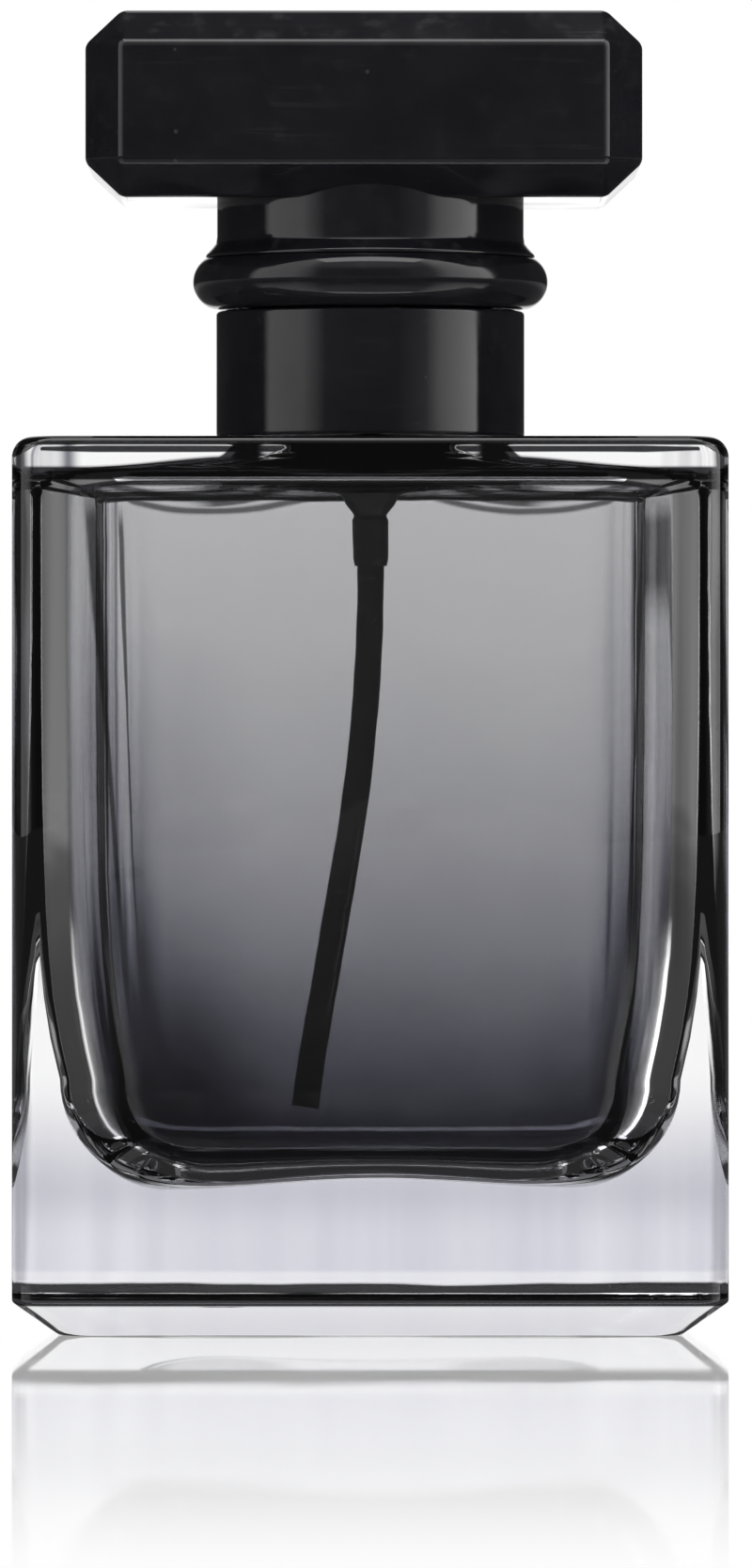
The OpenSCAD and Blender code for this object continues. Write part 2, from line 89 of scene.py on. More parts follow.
# %% [markdown]
# ## Small helpers for node trees
# Every finish below is a tree of nodes. These helpers add a node, set its inputs and join it up
# in one call, so that each finish reads as a short list of steps.

# %% Node helpers
def add_node(tree, kind, settings=None, **inputs):
    """One node. settings are its own fields; inputs are numbers or sockets, by input name."""
    node = tree.nodes.new(kind)
    for field, value in (settings or {}).items():
        setattr(node, field, value)
    for name, value in inputs.items():
        key = int(name[1:]) if name[0] == "i" and name[1:].isdigit() else name.replace("_", " ")
        if isinstance(value, bpy.types.NodeSocket):
            tree.links.new(value, node.inputs[key])
        else:
            node.inputs[key].default_value = value
    return node


def calc(tree, operation, a, b=0.0, c=0.0, clamp=False):
    """A Math node's result."""
    settings = {"operation": operation, "use_clamp": clamp}
    return add_node(tree, "ShaderNodeMath", settings, i0=a, i1=b, i2=c).outputs[0]


def ramp_between(tree, value, low, high, to_low=0.0, to_high=1.0, smooth=True):
    """A value carried from low..high to to_low..to_high, with soft ends."""
    settings = {"interpolation_type": "SMOOTHSTEP" if smooth else "LINEAR"}
    node = add_node(tree, "ShaderNodeMapRange", settings, Value=value)
    node.inputs["From Min"].default_value = low
    node.inputs["From Max"].default_value = high
    node.inputs["To Min"].default_value = to_low
    node.inputs["To Max"].default_value = to_high
    return node.outputs["Result"]


def blend_colours(tree, share, first, second):
    """A colour between two."""
    node = add_node(tree, "ShaderNodeMix", {"data_type": "RGBA"})
    for index, value in ((0, share), (6, first), (7, second)):
        if isinstance(value, bpy.types.NodeSocket):
            tree.links.new(value, node.inputs[index])
        else:
            node.inputs[index].default_value = value
    return node.outputs[2]


def product(tree, first, *others):
    """Several masks multiplied together."""
    for other in others:
        first = calc(tree, "MULTIPLY", first, other)
    return first


def strongest(tree, first, *others):
    """The largest of several masks."""
    for other in others:
        first = calc(tree, "MAXIMUM", first, other)
    return first


def gap_from(tree, value, target):
    """How far a value is from a target, either way."""
    return calc(tree, "ABSOLUTE", calc(tree, "SUBTRACT", value, target))


def ramp_mm(tree, value, low, high, to_low=0.0, to_high=1.0):
    """A soft ramp over a stretch of the object, given in millimetres."""
    return ramp_between(tree, value, low * mm, high * mm, to_low, to_high)


def band(tree, value, start, end):
    """A mask that is full between two places, each softened over a pair of millimetres."""
    return product(tree, ramp_mm(tree, value, *start), ramp_mm(tree, value, *end))


def start_group(name, inputs, outputs):
    """An empty node group with float inputs and float outputs."""
    group = bpy.data.node_groups.new(name, "ShaderNodeTree")
    for label, value in inputs.items():
        socket = group.interface.new_socket(label, in_out="INPUT", socket_type="NodeSocketFloat")
        socket.default_value = value
    for label in outputs:
        group.interface.new_socket(label, in_out="OUTPUT", socket_type="NodeSocketFloat")
    return group, group.nodes.new("NodeGroupInput"), group.nodes.new("NodeGroupOutput")


print("helpers ready")

# %% [markdown]
# ## The studio
# Black gloss and clear glass have almost no look of their own: they show what is round them.
# Product studios put a narrow white backdrop behind the glass and keep the sides dark, so that
# the outer edges of the glass turn black against white. Two tall soft boxes stand at the sides,
# just in front of the object. The sky here is painted by direction in the same way, which is
# quicker to light than real boxes and has no noise. Light that reaches it straight from the camera,
# straight through the glass or off the polished floor finds plain white.

# %% Sky painted by direction
world = bpy.data.worlds.new("studio")
scene.world = world
world.use_nodes = True
sky = world.node_tree
sky.nodes.clear()
look = add_node(sky, "ShaderNodeTexCoord").outputs["Generated"]
parts = add_node(sky, "ShaderNodeSeparateXYZ", Vector=look)
side_turn = calc(sky, "ARCTAN2", parts.outputs["X"], calc(sky, "MULTIPLY", parts.outputs["Y"], -1))
turn_share = ramp_between(sky, side_turn, -math.pi, math.pi, smooth=False)


def brightness_by_turn(stops):
    """A grey ramp round the horizon. Each stop is degrees from the front, and a brightness."""
    node = sky.nodes.new("ShaderNodeValToRGB")
    element = node.color_ramp.elements
    while len(element) > 1:
        element.remove(element[0])
    for index, (degrees, level) in enumerate(stops):
        place = (degrees + 180) / 360
        stop = element[0] if index == 0 else element.new(place)
        stop.position = place
        stop.color = (level, level, level, 1)
    sky.links.new(turn_share, node.inputs[0])
    return node.outputs["Color"]


SIDE_STOPS = [
    (-180, 0.33), (-175, 0.33), (-168, 0.01), (-87, 0.01), (-81, 0.46), (-52, 0.4), (-34, 0.05),
    (-12, 0.03), (20, 0.03), (42, 0.12), (54, 0.5), (86, 0.95), (88, 0.01),
    (168, 0.01), (175, 0.33), (180, 0.33),
]
SIDE_POWER = 3.0
CANOPY_POWER = 0.5
OVERHEAD_GREY = (0.1, 0.1, 0.105, 1)
SOFT_FILL = (0.9, 0.9, 0.92, 1)
WHITE = (1, 1, 1, 1)
BACKDROP_EDGE = (0.975, 0.995)
TRAPPED_LEVEL = 0.19
height = parts.outputs["Z"]
side_level = calc(sky, "MULTIPLY", brightness_by_turn(SIDE_STOPS), SIDE_POWER)
in_front = ramp_between(sky, parts.outputs["Y"], 0.15, -0.25)
canopy = product(sky, ramp_between(sky, height, 0.35, 0.75), in_front, CANOPY_POWER)
overhead = ramp_between(sky, height, 0.9, 0.98)
above = blend_colours(sky, overhead, strongest(sky, side_level, canopy), OVERHEAD_GREY)
print("side stops:", len(SIDE_STOPS))

# %% [markdown]
# ## What each ray finds
# A ray that never met a mirror surface, or met only the floor, finds white. The floor can't be told
# from a black gloss face by its bounce alone, so a clear film lies just over the board, and only a
# ray that went through it has a Transparent Depth. Light that was turned round inside the glass
# finds the white backdrop or an even dark grey, so the side walls don't break up into patches.

# %% Sort the rays
path = add_node(sky, "ShaderNodeLightPath")
through_glass = path.outputs["Is Transmission Ray"]
off_floor = calc(sky, "GREATER_THAN", path.outputs["Transparent Depth"], 0.5)
own_mirrors = calc(sky, "SUBTRACT", path.outputs["Glossy Depth"], off_floor)
never_mirrored = calc(sky, "LESS_THAN", own_mirrors, 0.5)
straight = product(sky, strongest(sky, through_glass, off_floor), never_mirrored)
behind = ramp_between(sky, parts.outputs["Y"], *BACKDROP_EDGE)
trapped = strongest(sky, behind, TRAPPED_LEVEL)
left_glass = blend_colours(sky, through_glass, above, trapped)
soft = blend_colours(sky, path.outputs["Is Diffuse Ray"], left_glass, SOFT_FILL)
soft = blend_colours(sky, straight, soft, WHITE)
seen = blend_colours(sky, path.outputs["Is Camera Ray"], soft, WHITE)
paint = add_node(sky, "ShaderNodeBackground", Color=seen)
add_node(sky, "ShaderNodeOutputWorld", Surface=paint.outputs[0])
print("sky nodes:", len(sky.nodes))

# %% [markdown]
# ## The floor
# The bottle stands on a white polished board. Its reflection is clear where it touches and
# fades within a hand's width. A real board does this because it is slightly hazy. Here the share
# of mirror falls with the distance from the object's foot. Seen in a mirror surface, the board is
# white only towards the backdrop and dark to the sides, like the sky. A clear film lies on it, for
# the sorting of rays above.

# %% Board and film
BOARD_RADIUS = 12
FILM_RADIUS = 0.6
BOARD_DROP = 0.02
FILM_DROP = 0.01


def staged_disc(name, radius, drop, finish_name):
    """A flat disc under the foot, with an empty finish. Gives the finish's tree."""
    build = bmesh.new()
    bmesh.ops.create_circle(build, cap_ends=True, segments=128, radius=radius)
    mesh = bpy.data.meshes.new(name)
    build.to_mesh(mesh)
    build.free()
    disc = placed(name, mesh)
    disc.location = (0, 0, foot_low.z - drop * mm)
    finish = bpy.data.materials.new(finish_name)
    finish.use_nodes = True
    finish.node_tree.nodes.clear()
    mesh.materials.append(finish)
    return finish.node_tree


tree = staged_disc("floor", BOARD_RADIUS, BOARD_DROP, "white_board")
film_tree = staged_disc("floor_film", FILM_RADIUS, FILM_DROP, "clear_film")
see_through = add_node(film_tree, "ShaderNodeBsdfTransparent")
add_node(film_tree, "ShaderNodeOutputMaterial", Surface=see_through.outputs[0])
print("discs under the foot, m:", BOARD_RADIUS, FILM_RADIUS)

# %% Polish of the board
FADE = (0.06, 0.31)
FULL_MIRROR = 0.66
NEAR_DARK = 0.07
FAR_WHITE = 1.4
spot = add_node(tree, "ShaderNodeTexCoord").outputs["Object"]
spot_parts = add_node(tree, "ShaderNodeSeparateXYZ", Vector=spot)
distance = add_node(tree, "ShaderNodeVectorMath", {"operation": "LENGTH"}, i0=spot).outputs["Value"]
fade = ramp_between(tree, distance, *FADE, FULL_MIRROR, 0.0)
haze = add_node(tree, "ShaderNodeTexNoise", Vector=spot, Scale=40.0, Detail=3.0)
haze_rough = ramp_between(tree, haze.outputs["Fac"], 0.3, 0.7, 0.02, 0.05)
floor_path = add_node(tree, "ShaderNodeLightPath")
bounced = calc(tree, "GREATER_THAN", floor_path.outputs["Glossy Depth"], 0.5)
away = calc(tree, "DIVIDE", spot_parts.outputs["Y"], calc(tree, "MAXIMUM", distance, 0.001))
to_backdrop = ramp_between(tree, away, *BACKDROP_EDGE)
to_backdrop = product(tree, to_backdrop, ramp_between(tree, distance, 0.6, 1.2, 1.0, FAR_WHITE))
to_side = ramp_between(tree, distance, 0.3, 1.2, NEAR_DARK, TRAPPED_LEVEL)
glow = blend_colours(tree, bounced, WHITE, strongest(tree, to_backdrop, to_side))
glow_node = add_node(tree, "ShaderNodeEmission", Color=WHITE, Strength=glow)
mirror = add_node(tree, "ShaderNodeBsdfGlossy", Color=WHITE, Roughness=haze_rough)
shown = add_node(tree, "ShaderNodeMixShader", i0=fade, i1=glow_node.outputs[0], i2=mirror.outputs[0])
add_node(tree, "ShaderNodeOutputMaterial", Surface=shown.outputs[0])
print("board nodes:", len(tree.nodes))

# %% [markdown]
# ## Overhead light
# One real soft box hangs over the object. It gives the tops of the black pieces a soft sheen that a
# painted sky alone leaves too even. A point lamp would leave a hard spot on the gloss.

# %% Soft light
MIDDLE_Z = 0.045


def soft_light(name, place, width, tall, power):
    """A rectangular soft box aimed at the middle of the object."""
    data = bpy.data.lights.new(name, "AREA")
    data.shape = "RECTANGLE"
    data.size = width
    data.size_y = tall
    data.energy = power
    light = placed(name, data)
    light.location = place
    aim = Vector((0, 0, MIDDLE_Z)) - light.location
    light.rotation_euler = aim.to_track_quat("-Z", "Y").to_euler()


soft_light("overhead_box", (0.0, -0.15, 0.9), 0.7, 0.5, 2.5)


# %% [markdown]
# ## Effects that several finishes share
# Polished and moulded surfaces are never perfect. Three effects are used again and again, so each
# is a group built once: handling marks, which are short fine scratches in all directions with
# a little haze between them; mould skin, the slow waviness and fine grain that a moulded part
# copies from its tool; and settled dust, which gathers on what faces up. A group could also hold
# the whole shader, but then its gloss could not be read outside it, so the groups only put out
# masks and heights.

# %% Group: handling marks
SCRATCH_TURNS = (20, 75, 130, 165)
SCRATCH_STRETCH = (90, 2200, 2200)
marks_group, marks_in, marks_out = start_group(
    "handling_marks", {"Scale": 1.0, "Amount": 0.5}, ["Scratches", "Haze"])
place = add_node(marks_group, "ShaderNodeTexCoord").outputs["Object"]
grown = add_node(marks_group, "ShaderNodeVectorMath", {"operation": "SCALE"}, i0=place)
marks_group.links.new(marks_in.outputs["Scale"], grown.inputs["Scale"])
strokes = []
for turn in SCRATCH_TURNS:
    aimed = add_node(marks_group, "ShaderNodeMapping", Vector=grown.outputs[0])
    aimed.inputs["Rotation"].default_value = (math.radians(turn), math.radians(turn * 2), 0.4)
    aimed.inputs["Scale"].default_value = SCRATCH_STRETCH
    noise = add_node(marks_group, "ShaderNodeTexNoise", Vector=aimed.outputs[0], Scale=1.0, Detail=1.0)
    strokes.append(ramp_between(marks_group, noise.outputs["Fac"], 0.66, 0.76))
total = strongest(marks_group, *strokes)
patch = add_node(marks_group, "ShaderNodeTexNoise", Vector=grown.outputs[0], Scale=160.0, Detail=4.0)
haze_mask = ramp_between(marks_group, patch.outputs["Fac"], 0.4, 0.75)
in_haze = calc(marks_group, "MULTIPLY_ADD", haze_mask, 0.8, 0.2)
scratch = product(marks_group, total, marks_in.outputs["Amount"], in_haze)
marks_group.links.new(scratch, marks_out.inputs["Scratches"])
marks_group.links.new(haze_mask, marks_out.inputs["Haze"])
print("handling_marks nodes:", len(marks_group.nodes))

# %% Group: mould skin
skin_group, skin_in, skin_out = start_group(
    "mould_skin", {"Wave size": 300.0, "Grain size": 4000.0, "Grain": 0.2}, ["Height", "Tone"])
place = add_node(skin_group, "ShaderNodeTexCoord").outputs["Object"]
wave = add_node(skin_group, "ShaderNodeTexNoise", Vector=place, Detail=2.0)
skin_group.links.new(skin_in.outputs["Wave size"], wave.inputs["Scale"])
grain = add_node(skin_group, "ShaderNodeTexNoise", Vector=place, Detail=3.0)
skin_group.links.new(skin_in.outputs["Grain size"], grain.inputs["Scale"])
grainy = product(skin_group, grain.outputs["Fac"], skin_in.outputs["Grain"])
surface = calc(skin_group, "ADD", wave.outputs["Fac"], grainy)
skin_group.links.new(surface, skin_out.inputs["Height"])
skin_group.links.new(ramp_between(skin_group, wave.outputs["Fac"], 0.3, 0.7), skin_out.inputs["Tone"])
print("mould_skin nodes:", len(skin_group.nodes))

# %% Group: settled dust
dust_group, dust_in, dust_out = start_group("settled_dust", {"Amount": 0.4}, ["Dust"])
place = add_node(dust_group, "ShaderNodeTexCoord").outputs["Object"]
upward = add_node(dust_group, "ShaderNodeNewGeometry").outputs["Normal"]
upward_z = add_node(dust_group, "ShaderNodeSeparateXYZ", Vector=upward).outputs["Z"]
facing_up = ramp_between(dust_group, upward_z, -0.2, 0.9, 0.15, 1.0)
speck = add_node(dust_group, "ShaderNodeTexVoronoi", Vector=place, Scale=520.0, Randomness=1.0)
speck_dot = ramp_between(dust_group, speck.outputs["Distance"], 0.1, 0.05)
choice = add_node(dust_group, "ShaderNodeSeparateColor", Color=speck.outputs["Color"]).outputs[0]
chosen = calc(dust_group, "GREATER_THAN", choice, 0.88)
film = add_node(dust_group, "ShaderNodeTexNoise", Vector=place, Scale=700.0, Detail=5.0)
film_mask = product(dust_group, ramp_between(dust_group, film.outputs["Fac"], 0.5, 0.8), 0.15)
specks = strongest(dust_group, product(dust_group, speck_dot, chosen), film_mask)
dusty = product(dust_group, specks, facing_up, dust_in.outputs["Amount"])
dust_group.links.new(dusty, dust_out.inputs["Dust"])
print("settled_dust nodes:", len(dust_group.nodes))


# %% [markdown]
# ## Black plastics
# The cap and the collar are moulded in a glossy black plastic, the pump in a satin one. They differ
# in how even the tool was polished, so one maker's recipe with different values serves both:
# a near-black colour that varies a little, gloss broken by handling marks, and a skin of very
# low waves.

# %% Recipe for a moulded finish
def group_node(tree, group, **inputs):
    """A placed copy of a node group with its own values."""
    node = tree.nodes.new("ShaderNodeGroup")
    node.node_tree = group
    for name, value in inputs.items():
        node.inputs[name.replace("_", " ")].default_value = value
    return node


def new_finish(name):
    """A material with a bare Principled shader. Gives the material, its tree and the shader."""
    material = bpy.data.materials.new(name)
    material.use_nodes = True
    tree = material.node_tree
    tree.nodes.clear()
    shader = tree.nodes.new("ShaderNodeBsdfPrincipled")
    out = tree.nodes.new("ShaderNodeOutputMaterial")
    tree.links.new(shader.outputs[0], out.inputs["Surface"])
    return material, tree, shader


SCRATCH_GREY = (0.2, 0.2, 0.21, 1)
DUST_GREY = (0.42, 0.41, 0.4, 1)


def moulded_finish(name, dark, pale, rough, wave_size, grain, bump_depth, marks, dust):
    """A moulded plastic: two tones, a range of roughness, wave and grain, scratches and dust."""
    material, tree, shader = new_finish(name)
    skin = group_node(tree, skin_group, Wave_size=wave_size, Grain=grain)
    wear = group_node(tree, marks_group, Amount=marks)
    dirt = group_node(tree, dust_group, Amount=dust)
    tone = blend_colours(tree, skin.outputs["Tone"], (*dark, 1), (*pale, 1))
    scratched = product(tree, wear.outputs["Scratches"], 0.35)
    worn = blend_colours(tree, scratched, tone, SCRATCH_GREY)
    dusty_tone = blend_colours(tree, dirt.outputs["Dust"], worn, DUST_GREY)
    tree.links.new(dusty_tone, shader.inputs["Base Color"])
    low, high = rough
    smooth_part = ramp_between(tree, wear.outputs["Haze"], 0.0, 1.0, low, high)
    with_marks = calc(tree, "MULTIPLY_ADD", wear.outputs["Scratches"], 0.25, smooth_part)
    with_dust = calc(tree, "MULTIPLY_ADD", dirt.outputs["Dust"], 0.4, with_marks, clamp=True)
    tree.links.new(with_dust, shader.inputs["Roughness"])
    relief = calc(tree, "MULTIPLY_ADD", wear.outputs["Scratches"], -0.15, skin.outputs["Height"])
    bump = add_node(tree, "ShaderNodeBump", Height=relief, Strength=0.6, Distance=bump_depth)
    tree.links.new(bump.outputs[0], shader.inputs["Normal"])
    shader.inputs["IOR"].default_value = 1.5
    print("finish", name, "nodes", len(tree.nodes))
    return material


# %% The five moulded finishes
gloss_black = moulded_finish(
    "gloss_black", dark=(0.006, 0.006, 0.0078), pale=(0.0085, 0.0085, 0.0108), rough=(0.07, 0.13),
    wave_size=220.0, grain=0.05, bump_depth=0.02 * mm, marks=0.1, dust=0.25)
satin_black = moulded_finish(
    "satin_black_plastic", dark=(0.008, 0.008, 0.009), pale=(0.014, 0.014, 0.015), rough=(0.28, 0.4),
    wave_size=500.0, grain=0.5, bump_depth=0.02 * mm, marks=0.3, dust=0.2)
tube_black = moulded_finish(
    "black_tube", dark=(0.003, 0.003, 0.0035), pale=(0.006, 0.006, 0.007), rough=(0.12, 0.2),
    wave_size=900.0, grain=0.2, bump_depth=0.01 * mm, marks=0.25, dust=0.05)
natural = moulded_finish(
    "natural_plastic", dark=(0.72, 0.72, 0.69), pale=(0.8, 0.8, 0.78), rough=(0.3, 0.42),
    wave_size=600.0, grain=0.4, bump_depth=0.02 * mm, marks=0.25, dust=0.1)
rubber = moulded_finish(
    "black_rubber", dark=(0.012, 0.012, 0.012), pale=(0.02, 0.02, 0.02), rough=(0.6, 0.75),
    wave_size=900.0, grain=0.9, bump_depth=0.04 * mm, marks=0.1, dust=0.3)


# %% [markdown]
# ## Metals
# The ferrule is rolled aluminium, the springs are drawn steel wire, and the button's shell is
# black anodised aluminium. All three carry fine lines along the way they were worked: round the
# axis on a turned or rolled part. Noise stretched round the axis gives them.

# %% Recipe for worked metal
LINE_STRETCH = (60, 60, 9000)
BARE_GREY = (0.5, 0.5, 0.5, 1)


def worked_metal(name, dark, pale, rough, marks, metal):
    """Metal with lines round the pump's axis."""
    material, tree, shader = new_finish(name)
    place = add_node(tree, "ShaderNodeTexCoord").outputs["Object"]
    lines = add_node(tree, "ShaderNodeMapping", Vector=place)
    lines.inputs["Scale"].default_value = LINE_STRETCH
    noise = add_node(tree, "ShaderNodeTexNoise", Vector=lines.outputs[0], Scale=1.0, Detail=3.0)
    worked = ramp_between(tree, noise.outputs["Fac"], 0.3, 0.7)
    wear = group_node(tree, marks_group, Amount=marks)
    tone = blend_colours(tree, worked, (*dark, 1), (*pale, 1))
    worn = blend_colours(tree, product(tree, wear.outputs["Scratches"], 0.4), tone, BARE_GREY)
    tree.links.new(worn, shader.inputs["Base Color"])
    low, high = rough
    brushed = ramp_between(tree, worked, 0.0, 1.0, low, high)
    hazed = calc(tree, "MULTIPLY_ADD", wear.outputs["Haze"], 0.06, brushed)
    tree.links.new(hazed, shader.inputs["Roughness"])
    bump = add_node(tree, "ShaderNodeBump", Height=worked, Strength=0.3, Distance=0.01 * mm)
    tree.links.new(bump.outputs[0], shader.inputs["Normal"])
    shader.inputs["Metallic"].default_value = metal
    print("finish", name, "nodes", len(tree.nodes))
    return material


# %% The three metals
aluminium = worked_metal(
    "bright_aluminium", dark=(0.62, 0.62, 0.64), pale=(0.82, 0.82, 0.84), rough=(0.18, 0.28),
    marks=0.5, metal=1.0)
steel = worked_metal(
    "spring_steel", dark=(0.5, 0.5, 0.52), pale=(0.66, 0.66, 0.68), rough=(0.2, 0.32),
    marks=0.3, metal=1.0)
anodised = worked_metal(
    "black_anodised", dark=(0.012, 0.012, 0.014), pale=(0.03, 0.03, 0.033), rough=(0.16, 0.24),
    marks=0.5, metal=0.6)

# %% [markdown]
# ## Glass, clear and lacquered
# The glass itself is clear. Its colour comes from a lacquer sprayed inside the reservoir, which is
# thin at the shoulder and pools towards the base. Making the whole block grey would be easier, but
# then the thick base would be grey too. So the outer skin is clear glass and the reservoir's walls
# have a second glass whose colour follows the height. A Principled shader tints
# by the root of its colour at each surface, so the two lacquered walls together give the colour.

# %% Recipe for polished glass
def polished_glass(name, scuffed, wave_size, wave_depth):
    """Flint glass with faint marks and slow waves. Gives material, tree, shader and wave tone."""
    material, tree, shader = new_finish(name)
    shader.inputs["Transmission Weight"].default_value = 1.0
    shader.inputs["IOR"].default_value = 1.5
    wear = group_node(tree, marks_group, Scale=0.6, Amount=0.5)
    roughness = product(tree, wear.outputs["Scratches"], scuffed)
    tree.links.new(roughness, shader.inputs["Roughness"])
    skin = group_node(tree, skin_group, Wave_size=wave_size, Grain=0.0)
    bump = add_node(tree, "ShaderNodeBump", Height=skin.outputs["Height"], Strength=0.5,
                    Distance=wave_depth)
    tree.links.new(bump.outputs[0], shader.inputs["Normal"])
    return material, tree, shader, skin.outputs["Tone"]


def own_place(tree):
    """The object's own coordinates: as a vector, then x, y and z."""
    place = add_node(tree, "ShaderNodeTexCoord").outputs["Object"]
    spot_parts = add_node(tree, "ShaderNodeSeparateXYZ", Vector=place)
    return place, *spot_parts.outputs


def upright_noise(tree, place, stretch, tilt=0.0):
    """Noise drawn out along the height, as cords in glass are; it also lays out the painted corner streaks.
    """
    drawn = add_node(tree, "ShaderNodeMapping", Vector=place)
    drawn.inputs["Scale"].default_value = stretch
    drawn.inputs["Rotation"].default_value = (0, math.radians(tilt), 0)
    noise = add_node(tree, "ShaderNodeTexNoise", Vector=drawn.outputs[0], Scale=1.0, Detail=2.0)
    return noise.outputs["Fac"]


print("glass recipe ready")

# %% [markdown]
# ## The clear glass
# Thick flint glass has a faint lilac cast and fine upright cords, where the melt wasn't quite even.
# The cast is strongest in the solid base and just under the reservoir's floor. Absorption inside
# the glass would be the true way, but the exported model can't carry it, so the cast is a tone on
# the skin that follows the height.

# %% Clear glass
CLEAR = (1, 1, 1, 1)
THIN_GLASS = (0.985, 0.985, 0.995, 1)
BASE_DEEP = (0.68, 0.68, 0.76, 1)
BASE_PALE = (0.8, 0.8, 0.86, 1)
UNDER_FLOOR = (0.42, 0.42, 0.49, 1)
clear_glass, tree, shader, wave_tone = polished_glass("clear_glass", 0.03, 90.0, 0.06 * mm)
place, side, deep, level = own_place(tree)
out_x = calc(tree, "ABSOLUTE", side)
out_y = calc(tree, "ABSOLUTE", deep)
thin_tone = blend_colours(tree, wave_tone, THIN_GLASS, CLEAR)
cords = upright_noise(tree, place, (420, 420, 9))
cord_share = product(tree, ramp_between(tree, cords, 0.35, 0.65), ramp_mm(tree, out_x, 12, 18, 0.35, 1.0))
thick_tone = blend_colours(tree, cord_share, BASE_DEEP, BASE_PALE)
by_floor = ramp_mm(tree, level, 6.5, 10.5, 0.0, 0.45)
thick_tone = blend_colours(tree, by_floor, thick_tone, UNDER_FLOOR)
above_foot = ramp_mm(tree, level, 2.2, 3.4)
below_floor = ramp_mm(tree, level, 19, 9)
melt_tone = blend_colours(tree, product(tree, above_foot, below_floor), thin_tone, thick_tone)
print("clear glass nodes:", len(tree.nodes))

# %% [markdown]
# ## Dark upright edges
# A block of glass in front of a white backdrop turns black at its upright edges, because they bend
# the dark sides of the studio into view. The painted studio does this only from the front. The rest
# is a dark tone on the four corners, which stays in place from every side, with streaks beside it
# where the wall's cords bend the light less.

# %% Edges and wall streaks
EDGE_X = (23.6, 24.2)
EDGE_Y = (13.6, 14.2)
WALL_X = (20.3, 21.3)
EDGE_DRIFT = 1.2
EDGE_BLACK = (0.002, 0.002, 0.0024, 1)
EDGE_AT_BASE = (0.3, 0.3, 0.34, 1)
WALL_STREAK = (0.14, 0.14, 0.17, 1)
drift = add_node(tree, "ShaderNodeTexNoise", Vector=place, Scale=70.0, Detail=2.0)
drift_by = product(tree, calc(tree, "SUBTRACT", drift.outputs["Fac"], 0.5), EDGE_DRIFT * mm)
edge_x = ramp_mm(tree, calc(tree, "ADD", out_x, drift_by), *EDGE_X)
edge_y = ramp_mm(tree, calc(tree, "ADD", out_y, drift_by), *EDGE_Y)
on_wall = product(tree, ramp_mm(tree, out_x, *WALL_X), edge_y, ramp_mm(tree, level, 22, 30))
wall_cords = product(tree, on_wall, ramp_between(tree, cords, 0.37, 0.63))
melt_tone = blend_colours(tree, wall_cords, melt_tone, WALL_STREAK)
edge_tone = blend_colours(tree, ramp_mm(tree, level, 12, 18), EDGE_AT_BASE, EDGE_BLACK)
upright = product(tree, edge_x, edge_y, above_foot)
edged_tone = blend_colours(tree, upright, melt_tone, edge_tone)
print("edges start, mm:", EDGE_X[0], EDGE_Y[0])

# %% [markdown]
# ## Lines round the foot and under the shoulder
# Where the foot's bevel starts and where the top edge rolls over, the surface turns quickly and
# would draw a thin black line round the block; here each line is painted shade. A painted light line
# lies over the foot's, and the shoulder carries a painted dark reflection of the black collar round
# the neck, with two paler patches. Each is a narrow band of height in the skin's tone.

# %% Foot, shoulder and neck
PALE_LINE = (3.1, 3.25), (4.1, 3.7)
TOP_LINE = (62.16, 62.26), (62.88, 62.84)
LINE_BLACK = (0.0015, 0.0015, 0.0018, 1)
PALE_PATCH_X = 6.4
# Painted light: a pale line over the foot's black line, where the glass is left clear.
edged_tone = blend_colours(tree, band(tree, level, *PALE_LINE), edged_tone, CLEAR)
# Painted shade: the black line where the foot's bevel starts.
foot_level = calc(tree, "MULTIPLY_ADD", drift_by, 0.7, level)
foot_line = product(tree, ramp_mm(tree, level, 2.1, 2.25), ramp_mm(tree, foot_level, 3.2, 3.0))
# Painted reflection: the black collar shows dark in the shoulder round the neck, paler at two patches.
collar_reflection_top = ramp_mm(tree, out_x, 20, 9, 60.75 * mm, 61.5 * mm)
collar_reflection_top = calc(tree, "ADD", collar_reflection_top, ramp_mm(tree, out_x, 10.6, 8.8, 0.0, 1.3 * mm))
painted_collar_reflection = ramp_mm(tree, calc(tree, "SUBTRACT", level, collar_reflection_top), 0.12, -0.12)
patch = ramp_mm(tree, gap_from(tree, out_x, PALE_PATCH_X * mm), 1.5, 0.8)
patch = product(tree, patch, ramp_mm(tree, level, 61, 61.3))
past_patch = calc(tree, "MULTIPLY_ADD", patch, -0.5, 1.0)
painted_collar_reflection = product(tree, painted_collar_reflection, ramp_mm(tree, level, 59.7, 59.85), past_patch)
# Painted shade: the black line where the top edge rolls over, joined with the foot line and the collar
# reflection.
line_share = strongest(tree, foot_line, band(tree, level, *TOP_LINE), painted_collar_reflection)
lined_tone = blend_colours(tree, line_share, edged_tone, LINE_BLACK)
tree.links.new(lined_tone, shader.inputs["Base Color"])
print("clear glass nodes, with its lines:", len(tree.nodes))

# %% [markdown]
# ## The smoke lacquer
# The coat is sprayed in through the neck, so it is thin under the shoulder and runs down to pool at
# the floor, a little more on the left. One colour ramp by height gives that, and every unevenness is
# a shift of the height that is looked up: clouds, the pool, and painted dark streaks in the corners,
# which stand in for the refraction of the reservoir's rounded corners.

